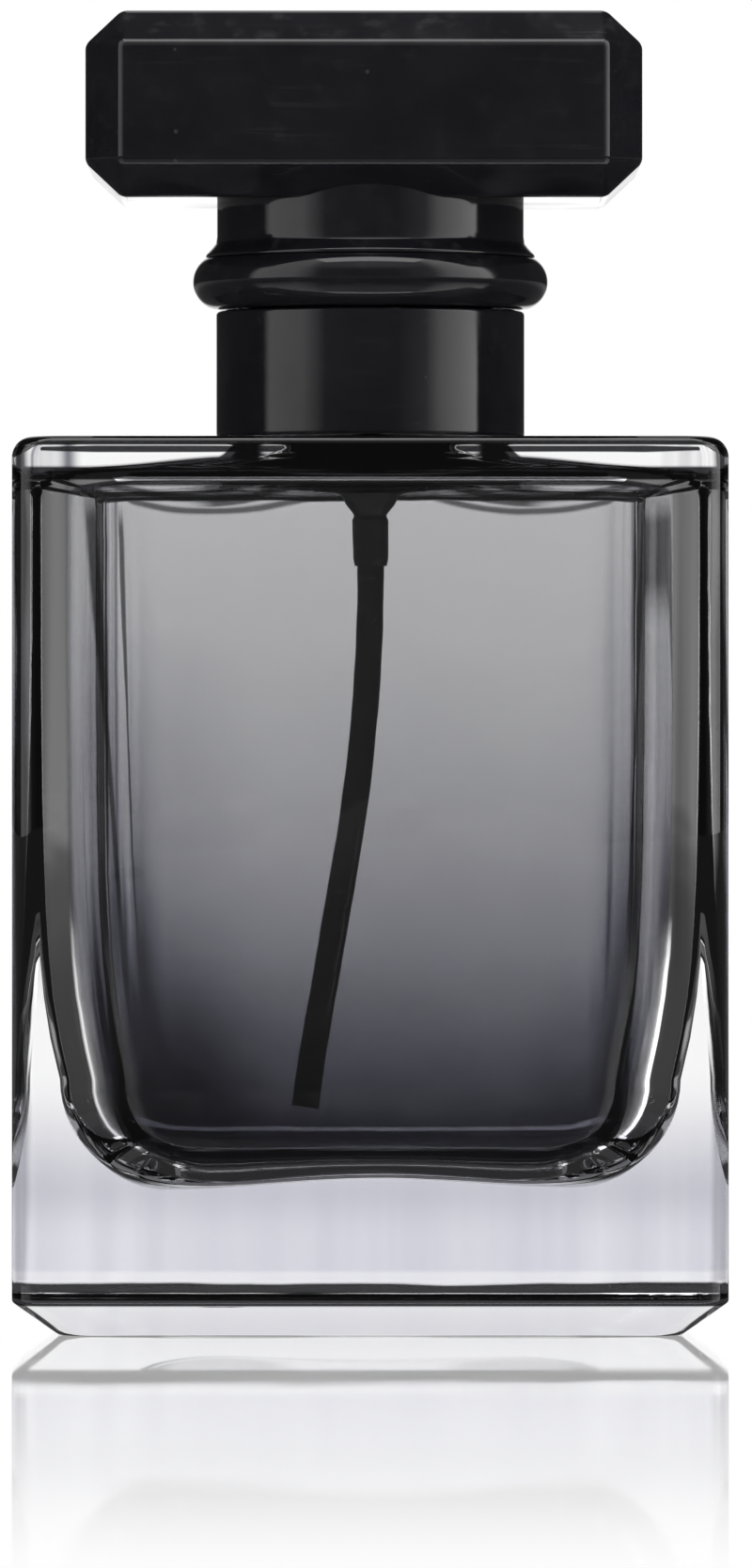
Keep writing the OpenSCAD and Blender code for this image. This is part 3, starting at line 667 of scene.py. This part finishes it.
# %% Lacquer by height
LACQUER_STOPS = [
    (0.0, (0.005, 0.005, 0.008)),
    (0.05, (0.01, 0.01, 0.015)),
    (0.1, (0.026, 0.026, 0.035)),
    (0.16, (0.06, 0.06, 0.077)),
    (0.3, (0.17, 0.17, 0.195)),
    (0.5, (0.29, 0.29, 0.31)),
    (0.75, (0.43, 0.43, 0.445)),
    (1.0, (0.5, 0.5, 0.515)),
]
COAT_FOOT = 10.5
COAT_TOP = 61
smoke_lacquer, tree, shader, _ = polished_glass("smoke_lacquer", 0.04, 130.0, 0.12 * mm)
place, side, deep, level = own_place(tree)
out_x = calc(tree, "ABSOLUTE", side)
shifted = ramp_between(tree, level, COAT_FOOT * mm, COAT_TOP * mm, smooth=False)
cloud = add_node(tree, "ShaderNodeTexNoise", Vector=place, Scale=55.0, Detail=3.0)
cloud_share = calc(tree, "SUBTRACT", cloud.outputs["Fac"], 0.5)
pool = product(tree, ramp_mm(tree, side, -6, -15), ramp_mm(tree, level, 56, 40))
on_side = ramp_mm(tree, out_x, 20.5, 22.5)
# Painted shade: upright dark streaks in the corners, in place of the refraction of the reservoir's rounded
# corners.
runs = upright_noise(tree, place, (330, 330, 12), tilt=2)
in_corner = ramp_mm(tree, out_x, 14.5, 18.5)
corner_streak_share = product(tree, ramp_between(tree, runs, 0.44, 0.6), in_corner)
for share, amount in ((cloud_share, 0.2), (pool, -0.1), (on_side, 0.2), (corner_streak_share, -0.3)):
    shifted = calc(tree, "MULTIPLY_ADD", share, amount, shifted)
coat = tree.nodes.new("ShaderNodeValToRGB")
stops = coat.color_ramp.elements
stops.remove(stops[1])
for index, (share, colour) in enumerate(LACQUER_STOPS):
    stop = stops[0] if index == 0 else stops.new(share)
    stop.position = share
    stop.color = (*colour, 1)
tree.links.new(shifted, coat.inputs[0])
print("lacquer stops:", len(LACQUER_STOPS))

# %% [markdown]
# ## Painted streaks, sags and seeds in the coat
# A thick dark streak is painted in each corner, wider at the top, in place of the refraction of the
# reservoir's rounded corners, and the coat sags in bows under the shoulder where it turned over the
# roof. A painted black line follows the roof's rounded edge. Seeds are tiny bubbles in the glass
# behind it. Near the floor the far wall shows one painted highlight line. They are lines in the tone,
# with their places worked out from the height and the distance from the middle, because bumps this
# small would only blur.

# %% Painted corner streaks, roof line and sags
STREAK_FOOT_LEFT = 15.2
STREAK_FOOT_RIGHT = 19.3
STREAK_SPREAD = 0.075
SAG_MIDDLE = 11.5
SAG_WIDTH = 18
SAG_TOP = 60.2
SAG_DEPTH = 1.7
PAINTED_ROOF_LINE = (59.25, 59.5), (60.85, 60.75)
COAT_BLACK = (0.003, 0.003, 0.004, 1)
# Painted shade: one dark streak per corner, leaning out as it rises, in place of the corner's refraction.
streak_foot = ramp_mm(tree, side, -1, 1, STREAK_FOOT_LEFT * mm, STREAK_FOOT_RIGHT * mm)
streak_gap = gap_from(tree, out_x, calc(tree, "MULTIPLY_ADD", level, STREAK_SPREAD, streak_foot))
streak_width = ramp_mm(tree, level, 42, 53, 0.25 * mm, 0.62 * mm)
painted_corner_streak = ramp_between(tree, calc(tree, "DIVIDE", streak_gap, streak_width), 1.0, 0.4, 0.0, 0.97)
painted_corner_streak = product(tree, painted_corner_streak, band(tree, level, (18, 32), (60, 57)))
sag_turn = product(tree, calc(tree, "SUBTRACT", out_x, SAG_MIDDLE * mm), math.pi / (SAG_WIDTH * mm))
sag = strongest(tree, calc(tree, "COSINE", sag_turn), 0.0)
sag_level = calc(tree, "MULTIPLY_ADD", sag, -SAG_DEPTH * mm, SAG_TOP * mm)
sag_line = ramp_mm(tree, gap_from(tree, level, sag_level), 0.45, 0.12, 0.0, 0.96)
bow_level = ramp_mm(tree, out_x, 3, 12, 60.4 * mm, 59.2 * mm)
bow_line = ramp_mm(tree, gap_from(tree, level, bow_level), 0.5, 0.25, 0.0, 0.97)
bow_line = product(tree, bow_line, ramp_mm(tree, out_x, 13.5, 11))
# Painted shade: a black line along the roof's rounded edge joins the streaks and the bows in one dark tone.
line_share = strongest(tree, painted_corner_streak, sag_line, bow_line, band(tree, level, *PAINTED_ROOF_LINE))
lined_coat = blend_colours(tree, line_share, coat.outputs["Color"], COAT_BLACK)
# Printed: where the painted corner streaks start, left and right.
print("runs start, mm from the middle:", STREAK_FOOT_LEFT, STREAK_FOOT_RIGHT)

# %% Seeds, and the painted highlight line by the floor
SEED_DARK = (0.01, 0.01, 0.012, 1)
PAINTED_HIGHLIGHT = (0.75, 0.75, 0.78, 1)
HIGHLIGHT_LEVEL = 13.3
seed = add_node(tree, "ShaderNodeTexVoronoi", Vector=place, Scale=230.0, Randomness=1.0)
seed_pick = add_node(tree, "ShaderNodeSeparateColor", Color=seed.outputs["Color"]).outputs[0]
seed_dot = ramp_between(tree, seed.outputs["Distance"], 0.075, 0.04)
seed_share = product(tree, seed_dot, calc(tree, "GREATER_THAN", seed_pick, 0.955), 0.7)
lined_coat = blend_colours(tree, seed_share, lined_coat, SEED_DARK)
# Painted highlight: a light line on the far wall where the floor turns up, in place of light caught by that
# edge.
painted_highlight_line = ramp_mm(tree, gap_from(tree, level, HIGHLIGHT_LEVEL * mm), 0.5, 0.15)
painted_highlight_line = product(tree, painted_highlight_line, ramp_mm(tree, deep, 2, 6))
highlighted_coat = blend_colours(tree, painted_highlight_line, lined_coat, PAINTED_HIGHLIGHT)
tree.links.new(highlighted_coat, shader.inputs["Base Color"])
print("glass finishes:", clear_glass.name, smoke_lacquer.name)


# %% [markdown]
# ## The glass body as one closed skin
# Pressed bottle glass is one piece with an outside and an inside. Light bends at both, so the mesh
# has to be closed and both skins have to be smooth. Rings of points are stacked from the middle of
# the foot, up the outside, over the lip of the neck and down the inside to the reservoir's floor.
# Cutting one block from another would give the same shape with ragged edges, and stacking keeps
# every rounding in hand.

# %% Rings of points
CORNER_STEPS = 12
SIDE_STEPS = 12


def between(first, second, share):
    """A point on the way from one to another."""
    return tuple(a + (b - a) * share for a, b in zip(first, second))


def rounded_ring(half_w, half_d, radius):
    """Points of a rounded rectangle, anticlockwise from the end of its right side."""
    radius = min(radius, half_w - 1e-5, half_d - 1e-5)
    corners = []
    for index, (way_x, way_y) in enumerate(((1, 1), (-1, 1), (-1, -1), (1, -1))):
        arc = []
        for step in range(CORNER_STEPS + 1):
            angle = math.radians(90) * (index + step / CORNER_STEPS)
            x = way_x * (half_w - radius) + radius * math.cos(angle)
            y = way_y * (half_d - radius) + radius * math.sin(angle)
            arc.append((x, y))
        corners.append(arc)
    ring = []
    for index, arc in enumerate(corners):
        ring.extend(arc)
        following = corners[(index + 1) % 4][0]
        ring.extend(between(arc[-1], following, step / SIDE_STEPS) for step in range(1, SIDE_STEPS))
    return ring


def round_ring(radius, like):
    """Points of a circle, each in the direction of its partner in another ring."""
    turns = [math.atan2(y, x) for x, y in like]
    return [(radius * math.cos(turn), radius * math.sin(turn)) for turn in turns]


print("points in a ring:", len(rounded_ring(1, 1, 0.2)))

# %% Outside of the glass
half_w = glass_high.x / mm
half_d = glass_high.y / mm
SHOULDER = 63.0
SHOULDER_FALL = 0.12
EDGE_R = 2.0
SHOULDER_R = 0.7
SHOULDER_SIDE_R = 1.5
SHOULDER_STEPS = 14
NECK_ROOT_R = 8.2
FOOT_RINGS = ((13.5, 0.45), (9.0, 0.42), (5.2, 0.3), (4.3, 0.08), (3.9, 0.0), (3.45, 0.0), (3.15, 0.06))
FOOT_BEVEL = 3.05
BEVEL_FOOT = 0.15
BEVEL_RISE = 2.3
BEVEL_EASE = ((0.17, 2.33), (0.08, 2.42), (0.02, 2.52), (0.0, 2.65), (0.0, 2.9))
WALL_START = 3.3
WALL_STEPS = 11
rings = []


def level_ring(inset_x, inset_y, radius, z):
    """One level ring of the outside, in millimetres."""
    rings.append([(x, y, z) for x, y in rounded_ring(half_w - inset_x, half_d - inset_y, radius)])


def sweep(depth, radius):
    """How far a rounded edge runs in, at a depth short of its flat."""
    if depth >= radius:
        return 0.0
    return radius - math.sqrt(max(radius ** 2 - (radius - depth) ** 2, 0))


for inset, z in FOOT_RINGS:
    level_ring(inset, inset, EDGE_R + 0.4, z)
for share in (0.04, 0.12, 0.3, 0.5, 0.7, 0.88):
    inset = FOOT_BEVEL * (1 - share)
    level_ring(inset, inset, EDGE_R, BEVEL_FOOT + BEVEL_RISE * share)
for inset, z in BEVEL_EASE:
    level_ring(inset, inset, EDGE_R, z)
edge_top = SHOULDER - SHOULDER_FALL
wall_end = edge_top - SHOULDER_SIDE_R - 0.1
for step in range(1, WALL_STEPS + 1):
    level_ring(0.0, 0.0, EDGE_R, WALL_START + (wall_end - WALL_START) * step / WALL_STEPS)
for step in range(SHOULDER_STEPS + 1):
    below_top = SHOULDER_SIDE_R * (1 - math.sin(math.radians(90) * step / SHOULDER_STEPS))
    in_x = sweep(below_top, SHOULDER_SIDE_R)
    in_y = sweep(below_top, SHOULDER_R)
    level_ring(in_x, in_y, EDGE_R, edge_top - below_top)
outline = rounded_ring(half_w - SHOULDER_SIDE_R, half_d - SHOULDER_R, EDGE_R)
neck_root = round_ring(NECK_ROOT_R, outline)
for share in (0.12, 0.4, 0.7, 0.92, 1.0):
    z = edge_top + SHOULDER_FALL * share
    rings.append([(*between(a, b, share), z) for a, b in zip(outline, neck_root)])
print("rings up to the neck:", len(rings))

# %% Neck, outside and inside
NECK_PROFILE = [
    (7.75, 63.05), (7.3, 63.18), (6.95, 63.4), (6.75, 63.75), (6.7, 64.3), (6.72, 65.2), (6.9, 65.55),
    (7.3, 65.8), (7.48, 66.1), (7.5, 66.6), (7.5, 68.5), (7.4, 68.85), (7.15, 69.1), (6.8, 69.2),
    (5.4, 69.2), (5.05, 69.1), (4.85, 68.9), (4.8, 68.6), (4.8, 66.5), (4.8, 64.6), (4.85, 63.9),
    (5.1, 63.2), (5.6, 62.55), (6.3, 62.1), (7.2, 61.85),
]
for radius, z in NECK_PROFILE:
    rings.append([(x, y, z) for x, y in round_ring(radius, outline)])
clear_rings = len(rings)
print("rings of clear glass:", clear_rings)

# %% [markdown]
# ## The reservoir
# Its walls get thicker towards the base, where the glass cooled last. In front view its lower
# corners sweep round in a wide curve, but from front to back the curve is tight. The floor is not
# flat: the punch that pressed it left it a little high in the middle.

# %% Walls of the reservoir
FLOOR = 10.5
ROOF = 60.7
ROOF_AT_NECK = 61.7
ROOF_MOUTH_R = 9.0
SIDE_SWEEP = 7.4
FACE_SWEEP = 4.0
ROOF_SIDE_SWEEP = 1.6
ROOF_FACE_SWEEP = 2.2
CORNER_R = 7.0
WALL_FOOT = 18.0
WALL_FALL = 6.5
SIDE_WALL = (3.3, 1.45)
FACE_WALL = (2.7, 2.0)


def wall_inset(z, at_base, at_top):
    """Thickness of a wall at a height: thick by the base, then thinning quickly."""
    return at_top + (at_base - at_top) * math.exp(-max(z - WALL_FOOT, 0) / WALL_FALL)


def reservoir_ring(z):
    """One ring of the reservoir's wall, with the sweeps at its floor and roof."""
    up = ROOF - z
    down = z - FLOOR
    side = wall_inset(z, *SIDE_WALL) + sweep(down, SIDE_SWEEP) + sweep(up, ROOF_SIDE_SWEEP)
    face = wall_inset(z, *FACE_WALL) + sweep(down, FACE_SWEEP) + sweep(up, ROOF_FACE_SWEEP)
    return rounded_ring(half_w - side, half_d - face, CORNER_R)


def floor_wave(x, y):
    """How much the pressed floor stands up at a place."""
    return 0.35 * math.cos(x / 17 * math.pi) + 0.1 * math.sin(x / 9 + 0.6)


print("side wall at the foot and at the roof, mm:", SIDE_WALL)

# %% Inside of the glass
ROOF_STEPS = 10
WALL_ROWS = 14
SWEEP_STEPS = 14
WAVE_REACH = 3.0
QUARTER = math.radians(90)
roof_ring = reservoir_ring(ROOF)
roof_circle = round_ring(ROOF_MOUTH_R, roof_ring)
for share in (0.0, 0.25, 0.5, 0.75, 1.0):
    z = ROOF_AT_NECK + (ROOF - ROOF_AT_NECK) * share ** 0.8
    rings.append([(*between(a, b, share), z) for a, b in zip(roof_circle, roof_ring)])
high = ROOF - ROOF_FACE_SWEEP
low = FLOOR + SIDE_SWEEP
heights = [
    ROOF - ROOF_FACE_SWEEP * (1 - math.cos(QUARTER * step / ROOF_STEPS))
    for step in range(1, ROOF_STEPS + 1)
]
heights += [high - (high - low) * step / WALL_ROWS for step in range(1, WALL_ROWS + 1)]
heights += [
    FLOOR + SIDE_SWEEP * (1 - math.sin(QUARTER * step / SWEEP_STEPS))
    for step in range(1, SWEEP_STEPS + 1)
]
for z in heights:
    near_floor = max(0.0, 1 - (z - FLOOR) / WAVE_REACH) ** 2
    rings.append([(x, y, z + near_floor * floor_wave(x, y)) for x, y in reservoir_ring(z)])
last = rings[-1]
for share in (0.85, 0.65, 0.4, 0.15):
    rings.append([(x * share, y * share, FLOOR + floor_wave(x * share, y * share)) for x, y, z in last])
print("rings inside:", len(rings) - clear_rings)


# %% [markdown]
# ## From rows of points to a piece
# Most shapes here are rows of points joined by bands of faces: the glass, the turned pieces, the
# tube and the springs. One helper lays a row round a centre, one joins two rows, and one ends the
# build and puts the piece in the scene with its finishes.

# %% Bands and pieces
def wrap(build, first, second):
    """A closed band of faces between two rows of points."""
    count = len(first)
    for index in range(count):
        after = (index + 1) % count
        build.faces.new((first[index], first[after], second[after], second[index]))


def row_round(build, centre, across, other, radius, count):
    """A row of points round a centre in millimetres, in the plane of two directions."""
    row = []
    for step in range(count):
        angle = 2 * math.pi * step / count
        spot = centre + across * (radius * math.cos(angle)) + other * (radius * math.sin(angle))
        row.append(build.verts.new(spot * mm))
    return row


def built(name, build, *finishes):
    """Ends a build: its mesh is shaded smooth, apart from caps, and placed with its finishes."""
    for face in build.faces:
        face.smooth = len(face.verts) <= 4
    mesh = bpy.data.meshes.new(name)
    build.to_mesh(mesh)
    build.free()
    for finish in finishes:
        mesh.materials.append(finish)
    return placed(name, mesh)


X_WAY = Vector((1, 0, 0))
Y_WAY = Vector((0, 1, 0))
Z_WAY = Vector((0, 0, 1))
print("band helpers ready")

# %% Stack the rings of the glass
build = bmesh.new()
rows = [[build.verts.new(Vector(point) * mm) for point in ring] for ring in rings]
for lower, upper in zip(rows, rows[1:]):
    wrap(build, lower, upper)
ring_count = len(rows[0])
for row, flip in ((rows[0], True), (rows[-1], False)):
    middle = build.verts.new(sum((v.co for v in row), Vector()) / ring_count)
    for index in range(ring_count):
        after = (index + 1) % ring_count
        corners = (row[after], row[index], middle) if flip else (row[index], row[after], middle)
        build.faces.new(corners)
glass = built("glass_block", build, clear_glass, smoke_lacquer)
band_faces = ring_count * (len(rings) - 1)
first_lacquered = ring_count * clear_rings
for polygon in glass.data.polygons:
    inside_band = first_lacquered <= polygon.index < band_faces
    floor_fan = polygon.index >= band_faces + ring_count
    polygon.material_index = 1 if inside_band or floor_fan else 0
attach(glass, "bottle")
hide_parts("glass_bottle")
print("glass faces:", len(glass.data.polygons))


# %% [markdown]
# ## Turned shapes
# The collar, the cap's neck, its bead and the pump are all round. Each is drawn as half of its
# section and turned about the axis. No moulded edge is sharp, so every corner of the section is
# first eased into a small arc; that arc is what catches a line of light.

# %% Ease the corners of a section and turn it
EASE_STEPS = 4
FLAT_BEND = math.radians(172)
SHARP_BEND = math.radians(40)


def eased(section, radius):
    """The section with each corner off the axis cut back to an arc."""
    count = len(section)
    result = []
    for index, corner in enumerate(section):
        here = Vector(corner)
        before = Vector(section[index - 1]) - here
        after = Vector(section[(index + 1) % count]) - here
        reach = min(radius, before.length * 0.45, after.length * 0.45)
        bend = before.angle(after, math.pi)
        if here.x < 1e-6 or bend > FLAT_BEND:
            result.append(tuple(here))
            continue
        start = here + before.normalized() * reach
        end = here + after.normalized() * reach
        for step in range(EASE_STEPS + 1):
            share = step / EASE_STEPS
            first = start.lerp(here, share)
            second = here.lerp(end, share)
            result.append(tuple(first.lerp(second, share)))
    return result


def even_shading(piece):
    """Keeps flats looking flat beside their eased edges."""
    piece.data.set_sharp_from_angle(angle=SHARP_BEND)
    firm = piece.modifiers.new("even_shading", "WEIGHTED_NORMAL")
    firm.keep_sharp = True


def turned(name, section, finish, turns=160):
    """A closed section of (radius, height) in millimetres, turned about the pump's axis."""
    build = bmesh.new()
    rows = []
    for radius, z in section:
        if radius < 1e-6:
            rows.append([build.verts.new((0, 0, z * mm))])
        else:
            rows.append(row_round(build, Z_WAY * z, X_WAY, Y_WAY, radius, turns))
    for lower, upper in zip(rows, rows[1:] + rows[:1]):
        if len(lower) == 1 and len(upper) == 1:
            continue
        for step in range(turns):
            after = (step + 1) % turns
            corners = [lower[step % len(lower)], lower[after % len(lower)],
                       upper[after % len(upper)], upper[step % len(upper)]]
            build.faces.new(list(dict.fromkeys(corners)))
    bmesh.ops.recalc_face_normals(build, faces=build.faces)
    piece = built(name, build, finish)
    even_shading(piece)
    print(name, "faces", len(piece.data.polygons))
    return piece


# %% [markdown]
# ## Collar
# The collar clips over the crimped ferrule and hides it. Its skirt is what shows; the narrower
# sleeve above it is what the cap's liner grips.

# %% Collar
SKIRT_TALL = 8.6
SKIRT_BORE_R = 10.1
SLEEVE_R = 8.7
SLEEVE_BORE_R = 8.1
MOUTH_R = 6.3
RIM = 0.6
LEDGE = 0.8
low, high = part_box("collar")
skirt_r = high.x / mm
z_top = high.z / mm
z_ledge = low.z / mm + SKIRT_TALL
z_low = SHOULDER + 0.08
collar_section = eased([
    (SKIRT_BORE_R, z_low), (skirt_r, z_low), (skirt_r, z_ledge), (SLEEVE_R, z_ledge),
    (SLEEVE_R, z_top), (MOUTH_R, z_top), (MOUTH_R, z_top - RIM), (SLEEVE_BORE_R, z_top - RIM),
    (SLEEVE_BORE_R, z_ledge - LEDGE), (SKIRT_BORE_R, z_ledge - LEDGE),
], 0.28)
collar = turned("collar_moulding", collar_section, gloss_black)
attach(collar, "bottle")
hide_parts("collar")

# %% [markdown]
# ## The cap: T-bar, neck and bead
# The T-bar is a block with a wide bevel on all twelve edges. Where two faces of a moulding
# meet, the tool leaves a tiny radius, so the flat facets are first hulled from their corner
# points and then every edge is rounded a little. The neck's bore is cut last.

# %% Cap neck
CAP_BORE_R = 9.6
BEAD_SEAT_R = 10.2
NECK_R = 10.85
low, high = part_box("cap_neck")
bead_low, bead_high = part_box("cap_bead")
bar_low, bar_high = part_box("cap_bar")
z_low = low.z / mm
z_bead_top = bead_high.z / mm
z_tenon = high.z / mm
flare = [(11.66, 0.0), (11.62, 0.22), (11.25, 0.62), (10.92, 1.02), (NECK_R, 1.5)]
neck_section = eased([
    (CAP_BORE_R, z_low), (BEAD_SEAT_R, z_low), (BEAD_SEAT_R, z_bead_top),
    *((radius, z_bead_top + up) for radius, up in flare),
    (NECK_R, z_tenon), (CAP_BORE_R, z_tenon),
], 0.12)
cap_neck = turned("cap_neck_moulding", neck_section, gloss_black)
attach(cap_neck, "cap")
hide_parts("cap_neck")

# %% Cap bead
BEAD_R = 2.0
BEAD_LIP_R = 11.4
bead_mid_r = bead_high.x / mm - BEAD_R
bead_mid_z = bead_low.z / mm + BEAD_R
bead_section = [(BEAD_SEAT_R, bead_low.z / mm + 0.1), (BEAD_SEAT_R + 0.1, bead_low.z / mm)]
for degrees in range(-90, 59, 6):
    turn = math.radians(degrees)
    bead_section.append((bead_mid_r + BEAD_R * math.cos(turn), bead_mid_z + BEAD_R * math.sin(turn)))
bead_section += [(BEAD_LIP_R, z_bead_top), (BEAD_SEAT_R, z_bead_top)]
cap_bead = turned("cap_bead_moulding", bead_section, gloss_black)
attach(cap_bead, "cap")
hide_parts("cap_bead")

# %% T-bar
BAR_SHIFT = Vector((-0.45, 0, 0)) * mm
BAR_BEVEL = Vector((2.55, 2.8, 2.4)) * mm
EDGE_ROUND = 0.36 * mm
BORE_TOP = 88.85
middle = (bar_low + bar_high) / 2 + BAR_SHIFT
reach = (bar_high - bar_low) / 2
build = bmesh.new()
for way in itertools.product((-1, 1), repeat=3):
    for flat in range(3):
        cut = [0 if axis == flat else BAR_BEVEL[axis] for axis in range(3)]
        spot = [way[axis] * (reach[axis] - cut[axis]) for axis in range(3)]
        build.verts.new(Vector(spot) + middle)
bmesh.ops.convex_hull(build, input=build.verts)
bmesh.ops.dissolve_limit(build, angle_limit=0.01, verts=build.verts, edges=build.edges)
bmesh.ops.recalc_face_normals(build, faces=build.faces)
bmesh.ops.bevel(build, geom=list(build.edges), offset=EDGE_ROUND, segments=4, profile=0.5,
                affect="EDGES")
cap_bar = built("cap_bar_moulding", build)
print("T-bar before boring, faces:", len(cap_bar.data.polygons))

# %% Bore of the T-bar
bore_section = [(0, 60), (CAP_BORE_R, 60), (CAP_BORE_R, BORE_TOP), (0, BORE_TOP)]
bore = turned("bore_cutter", bore_section, gloss_black)
cut = cap_bar.modifiers.new("bore", "BOOLEAN")
cut.operation = "DIFFERENCE"
cut.object = bore
bored = bpy.data.meshes.new_from_object(cap_bar.evaluated_get(bpy.context.evaluated_depsgraph_get()))
cap_bar.modifiers.clear()
cap_bar.data = bored
bored.name = "cap_bar_moulding_bored"
bpy.data.objects.remove(bore)
for polygon in bored.polygons:
    polygon.use_smooth = True
bored.materials.clear()
bored.materials.append(gloss_black)
even_shading(cap_bar)
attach(cap_bar, "cap")
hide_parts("cap_bar")
print("T-bar faces:", len(bored.polygons))

# %% [markdown]
# ## Pump housing and dip tube
# Through the glass the pump's chamber, cone and tail show as a black spindle, with the dip tube
# pushed into it. The tube is cut from a coil, so it keeps a slight curl and leans to one side. Its
# rows of points follow one bend outside and come back inside, which leaves the tube hollow.

# %% Pump housing
low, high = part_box("pump_housing")
z_tail = low.z / mm
z_top = high.z / mm
housing_section = eased([
    (7.1, z_top), (7.1, z_top - 0.8), (4.0, z_top - 0.8), (4.0, 60.9), (2.5, 60.3), (2.1, 59.9),
    (2.0, 59.3), (1.75, 58.6), (1.3, 58.0), (1.12, 57.7), (1.28, 57.35), (1.25, 57.0), (1.25, z_tail + 0.5),
    (1.12, z_tail), (0.95, z_tail), (0.95, 57.0), (0.6, 57.0), (0.6, 58.4),
    (0.95, 58.9), (0.95, 61.0), (3.0, 61.0), (3.0, z_top),
], 0.22)
housing = turned("pump_spindle", housing_section, satin_black, turns=96)
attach(housing, "bottle")
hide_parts("pump_housing")

# %% Dip tube
low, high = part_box("dip_tube")
TUBE_R = 0.95
TUBE_BORE = 0.55
BEND_START = 53.0
BEND_R = 113.0
LEAN = math.radians(9.4)
TUBE_SIDES = 32
STATIONS = 60
tube_top = high.z / mm
tube_end = low.z / mm


def tube_point(travel):
    """Centre and direction of the tube, at a length below its top end."""
    straight = tube_top - BEND_START
    if travel <= straight:
        return Z_WAY * (tube_top - travel), -Z_WAY
    turn = min((travel - straight) / BEND_R, LEAN)
    centre = Vector((-BEND_R * (1 - math.cos(turn)), 0, BEND_START - BEND_R * math.sin(turn)))
    along = Vector((-math.sin(turn), 0, -math.cos(turn)))
    rest = travel - straight - BEND_R * turn
    return centre + along * rest, along


length = 1.0
while tube_point(length)[0].z > tube_end + 0.35:
    length += 0.05
build = bmesh.new()
tube_rows = []
stations = [length * step / STATIONS for step in range(STATIONS + 1)]
order = [(s, TUBE_R) for s in stations] + [(s, TUBE_BORE) for s in reversed(stations)]
for travel, radius in order:
    centre, along = tube_point(travel)
    tube_rows.append(row_round(build, centre, Y_WAY, along.cross(Y_WAY), radius, TUBE_SIDES))
for first, second in zip(tube_rows, tube_rows[1:] + tube_rows[:1]):
    wrap(build, first, second)
bmesh.ops.recalc_face_normals(build, faces=build.faces)
tube = built("curled_tube", build, tube_black)
tube.data.set_sharp_from_angle(angle=SHARP_BEND)
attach(tube, "bottle")
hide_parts("dip_tube")
print("tube length, mm:", round(length, 1))

# %% [markdown]
# ## The two springs
# The return spring stands on the chamber's floor and pushes the plunger up. The valve spring sits
# round the stem and holds the piston down on its seat. Both are wound from round steel wire, with a
# flat turn at each end so that they stand square. A rigid coil would run through the piece that
# presses it.

# %% Springs
WIRE_SIDES = 12
TURN_STEPS = 36
FLAT_STEPS = 27


def coil(name, node, wire, turns):
    """A wire wound between the ends of a packed spring, with a flat turn at each end."""
    low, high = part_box(node)
    coil_r = high.x / mm - wire / 2
    foot = low.z / mm + wire / 2
    rise = (high.z - low.z) / mm - wire
    steps = round(turns * TURN_STEPS)
    build = bmesh.new()
    rows = []
    for step in range(steps + 1):
        share = min(1, max(0, (step - FLAT_STEPS) / (steps - 2 * FLAT_STEPS)))
        turn = 2 * math.pi * step / TURN_STEPS
        outward = Vector((math.cos(turn), math.sin(turn), 0))
        centre = outward * coil_r + Z_WAY * (foot + rise * share)
        rows.append(row_round(build, centre, outward, Z_WAY, wire / 2, WIRE_SIDES))
    for first, second in zip(rows, rows[1:]):
        wrap(build, first, second)
    build.faces.new(rows[0])
    build.faces.new(rows[-1])
    bmesh.ops.recalc_face_normals(build, faces=build.faces)
    piece = built(name, build, steel)
    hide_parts(node)
    print(name, "faces", len(piece.data.polygons))
    return piece, low.z, high.z


return_coil, coil_foot, coil_top = coil("return_coil", "return_spring", wire=0.35, turns=5)
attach(return_coil, "bottle")
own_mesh(return_coil)
valve_coil, coil_foot, coil_top = coil("valve_coil", "valve_spring", wire=0.28, turns=3.5)
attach(valve_coil, "plunger")
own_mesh(valve_coil)

# %% [markdown]
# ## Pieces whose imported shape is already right
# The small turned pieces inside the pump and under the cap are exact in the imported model, so they
# stay and only get their finish.

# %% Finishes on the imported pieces
FINISHES = {
    "neck_gasket": natural, "turret": natural, "valve_pin": natural, "piston": natural, "stem": natural,
    "ferrule": aluminium, "inlet_ball": steel,
    "stem_gasket": rubber, "collar_liner": satin_black, "button_core": satin_black,
    "nozzle_insert": satin_black, "cap_liner": satin_black, "button_shell": anodised,
}
for node, finish in FINISHES.items():
    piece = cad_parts[node]
    piece.data.materials.clear()
    piece.data.materials.append(finish)
print("finished pieces:", len(FINISHES))
